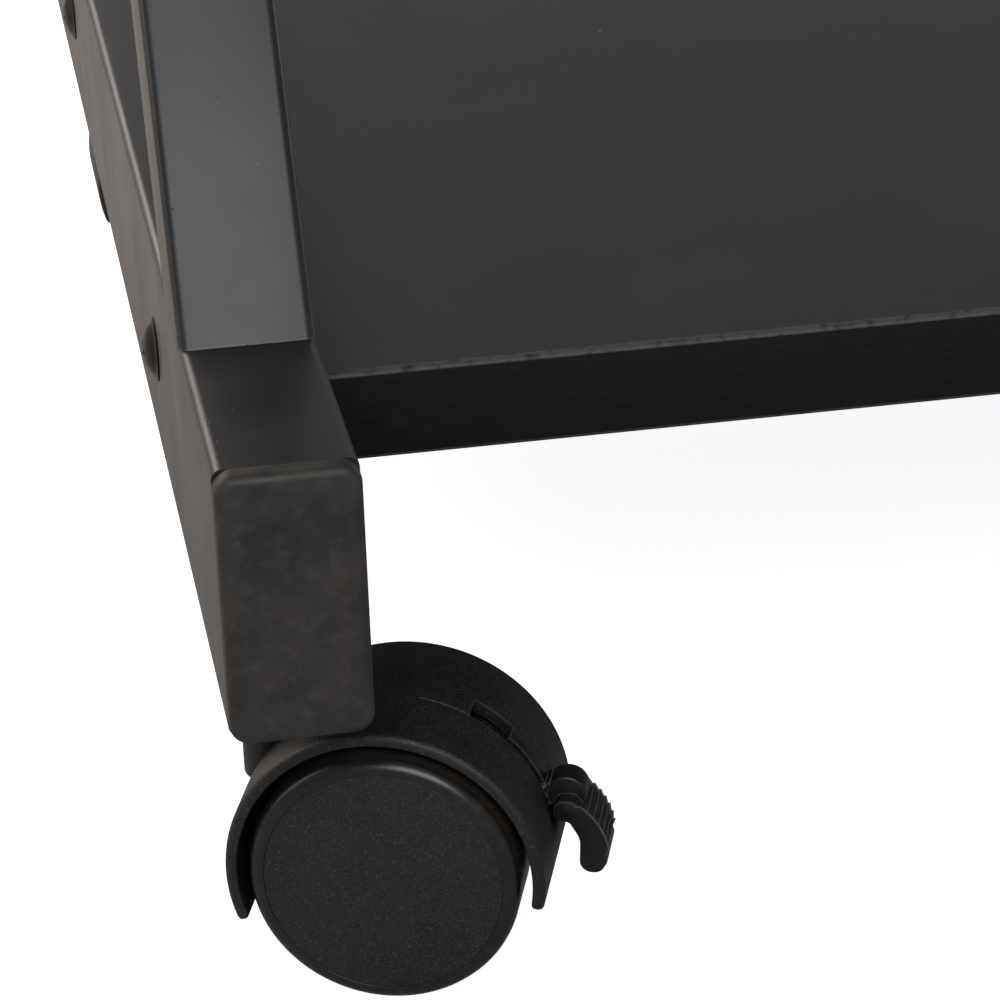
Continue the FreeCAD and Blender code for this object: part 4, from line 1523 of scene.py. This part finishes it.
def ring(radius, level):
    """Circle with as many points as the hexagon's outline."""
    turns = [math.atan2(y, x) for x, y, z in hexagon(1.0, 0, 0.05)]
    return [(radius * math.cos(turn), radius * math.sin(turn), level) for turn in turns]


def stem_mesh(low, high, spanner_low, spanner_high):
    chamfer = 0.4 * mm
    across = 13 * mm
    corner_ease = 0.5 * mm
    loops = [ring(stem_radius - chamfer, low), ring(stem_radius, low + chamfer),
             ring(stem_radius, spanner_low), ring(6.2 * mm, spanner_low),
             hexagon(across, spanner_low + chamfer, corner_ease), hexagon(across, spanner_high, corner_ease),
             ring(stem_radius, spanner_high)]
    pitch = 1.25 * mm
    for turn in range(int((high - spanner_high - 1 * mm) / pitch)):
        level = spanner_high + turn * pitch
        loops += [ring(stem_radius, level + 0.2 * mm),
                  ring(stem_radius - 0.6 * mm, level + 0.6 * mm),
                  ring(stem_radius, level + pitch)]
    loops.append(ring(stem_radius - 0.8 * mm, high))
    return loft(loops)


rail_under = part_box("base_rail_left")[0].z
for corner in corners:
    node = corner + "_stem"
    low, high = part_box(node)
    centre = middle(node)
    hood_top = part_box(corner + "_hood")[1].z
    shape = stem_mesh(low.z, high.z, hood_top + 0.4 * mm, rail_under)
    hand_over(into_object(node + ".turned", shape, Matrix.Translation((centre.x, centre.y, 0))),
              "zinc_steel", "frame", node)
print("stems made: 4")

# %% [markdown]
# ## Floor and light
#
# The cart stands on a plain pale floor in a white room. Black satin surfaces show only what they
# mirror, so most of the light comes from large soft panels: one high in front for the posts and the
# edges of the caps, and weaker ones at the left, right, back and overhead. The side of the rail
# mirrors the floor beside it, so a small warm panel faces down and lights that patch of floor.

# %% Floor
floor_shape = bmesh.new()
bmesh.ops.create_circle(floor_shape, cap_ends=True, segments=64, radius=14.0)
floor_mesh = bpy.data.meshes.new("floor")
floor_shape.to_mesh(floor_mesh)
floor_shape.free()
floor = bpy.data.objects.new("floor", floor_mesh)
scene_objects.link(floor)

floor_finish = bpy.data.materials.new("Pale studio floor")
floor_finish.use_nodes = True
tree = floor_finish.node_tree
shader = tree.nodes["Principled BSDF"].inputs
shader["Roughness"].default_value = 0.9
shader["Specular IOR Level"].default_value = 0.1
seen = add_node(tree, "LightPath").outputs["Is Camera Ray"]
tree.links.new(blend_colours(tree, seen, (0.42, 0.41, 0.40, 1), (0.5, 0.5, 0.5, 1)), shader["Base Color"])
shader["Emission Color"].default_value = (1, 1, 1, 1)
tree.links.new(figure(tree, "MULTIPLY", seen, 0.9), shader["Emission Strength"])
floor_mesh.materials.append(floor_finish)
print("floor laid")

# %% Lights


def soft_panel(name, place, target, width, height, power, colour=(1, 1, 1)):
    """Rectangular light, in metres and watts, that faces a target and isn't seen itself."""
    light = bpy.data.lights.new(name, "AREA")
    light.shape = "RECTANGLE"
    light.size = width
    light.size_y = height
    light.energy = power
    light.color = colour
    panel = bpy.data.objects.new(name, light)
    panel.location = place
    panel.rotation_euler = (Vector(target) - Vector(place)).to_track_quat("-Z", "Y").to_euler()
    panel.visible_camera = False
    scene_objects.link(panel)


near_corner = (-0.3, 0, 0.1)
soft_panel("front_panel", (-0.35, -2.6, 2.1), (-0.25, -0.2, 0.15), 2.2, 1.5, 55, (0.97, 0.98, 1.0))
soft_panel("left_panel", (-2.4, 0.8, 1.2), near_corner, 1.6, 1.3, 14, (1.0, 0.92, 0.85))
soft_panel("floor_panel", (-0.62, 0.6, 0.4), (-0.62, 0.6, 0), 0.4, 1.2, 4.5, (1.0, 0.87, 0.77))
soft_panel("right_panel", (2.3, 1.5, 0.8), (-0.3, 0, 0.2), 0.8, 1.2, 8)
soft_panel("back_panel", (-0.9, 2.8, 0.5), (-0.3, 0, 0.15), 1.0, 0.8, 1.5)
soft_panel("overhead_panel", (0.6, 0.3, 2.9), (0, 0, 0.3), 2.5, 2.5, 4)

world = bpy.data.worlds.new("white room")
bpy.context.scene.world = world
world.use_nodes = True
tree = world.node_tree
seen = add_node(tree, "LightPath").outputs["Is Camera Ray"]
background = tree.nodes["Background"]
room = blend_colours(tree, seen, (0.24, 0.24, 0.25, 1), (1, 1, 1, 1))
tree.links.new(room, background.inputs["Color"])
bpy.context.scene.view_settings.view_transform = "Standard"
print("lights", 6)

# %% [markdown]
# ## Camera
#
# The view is a close one of the front left corner, from a little outside the left rail and above
# the bottom board. The long lens keeps the uprights nearly parallel. The camera is built from three
# turns: round to the right, down, and a slight roll.

# %% Camera
camera_place = Vector((-339.42, -766.07, 348.64)) * mm
turn_right, look_down, roll = (math.radians(angle) for angle in (9.403, 24.354, -1.994))

ahead = Vector((math.sin(turn_right) * math.cos(look_down), math.cos(turn_right) * math.cos(look_down),
                -math.sin(look_down)))
level_right = Vector((math.cos(turn_right), -math.sin(turn_right), 0))
level_up = level_right.cross(ahead)
right = level_right * math.cos(roll) + level_up * math.sin(roll)
up = level_up * math.cos(roll) - level_right * math.sin(roll)
lens = bpy.data.cameras.new("camera")
lens.lens = 126
lens.sensor_width = 36
lens.clip_start = 0.01
camera = bpy.data.objects.new("camera", lens)
camera.matrix_world = Matrix.Translation(camera_place) @ Matrix((right, up, -ahead)).transposed().to_4x4()
scene_objects.link(camera)
bpy.context.scene.camera = camera
print("camera", [round(number, 3) for number in camera_place])

# %% [markdown]
# ## The design's size
#
# The looks must not make the cart bigger or smaller than its design, so the design's box is printed.

# %% Print the design's size
print("design", [round(n, 4) for corner in design_box for n in corner])
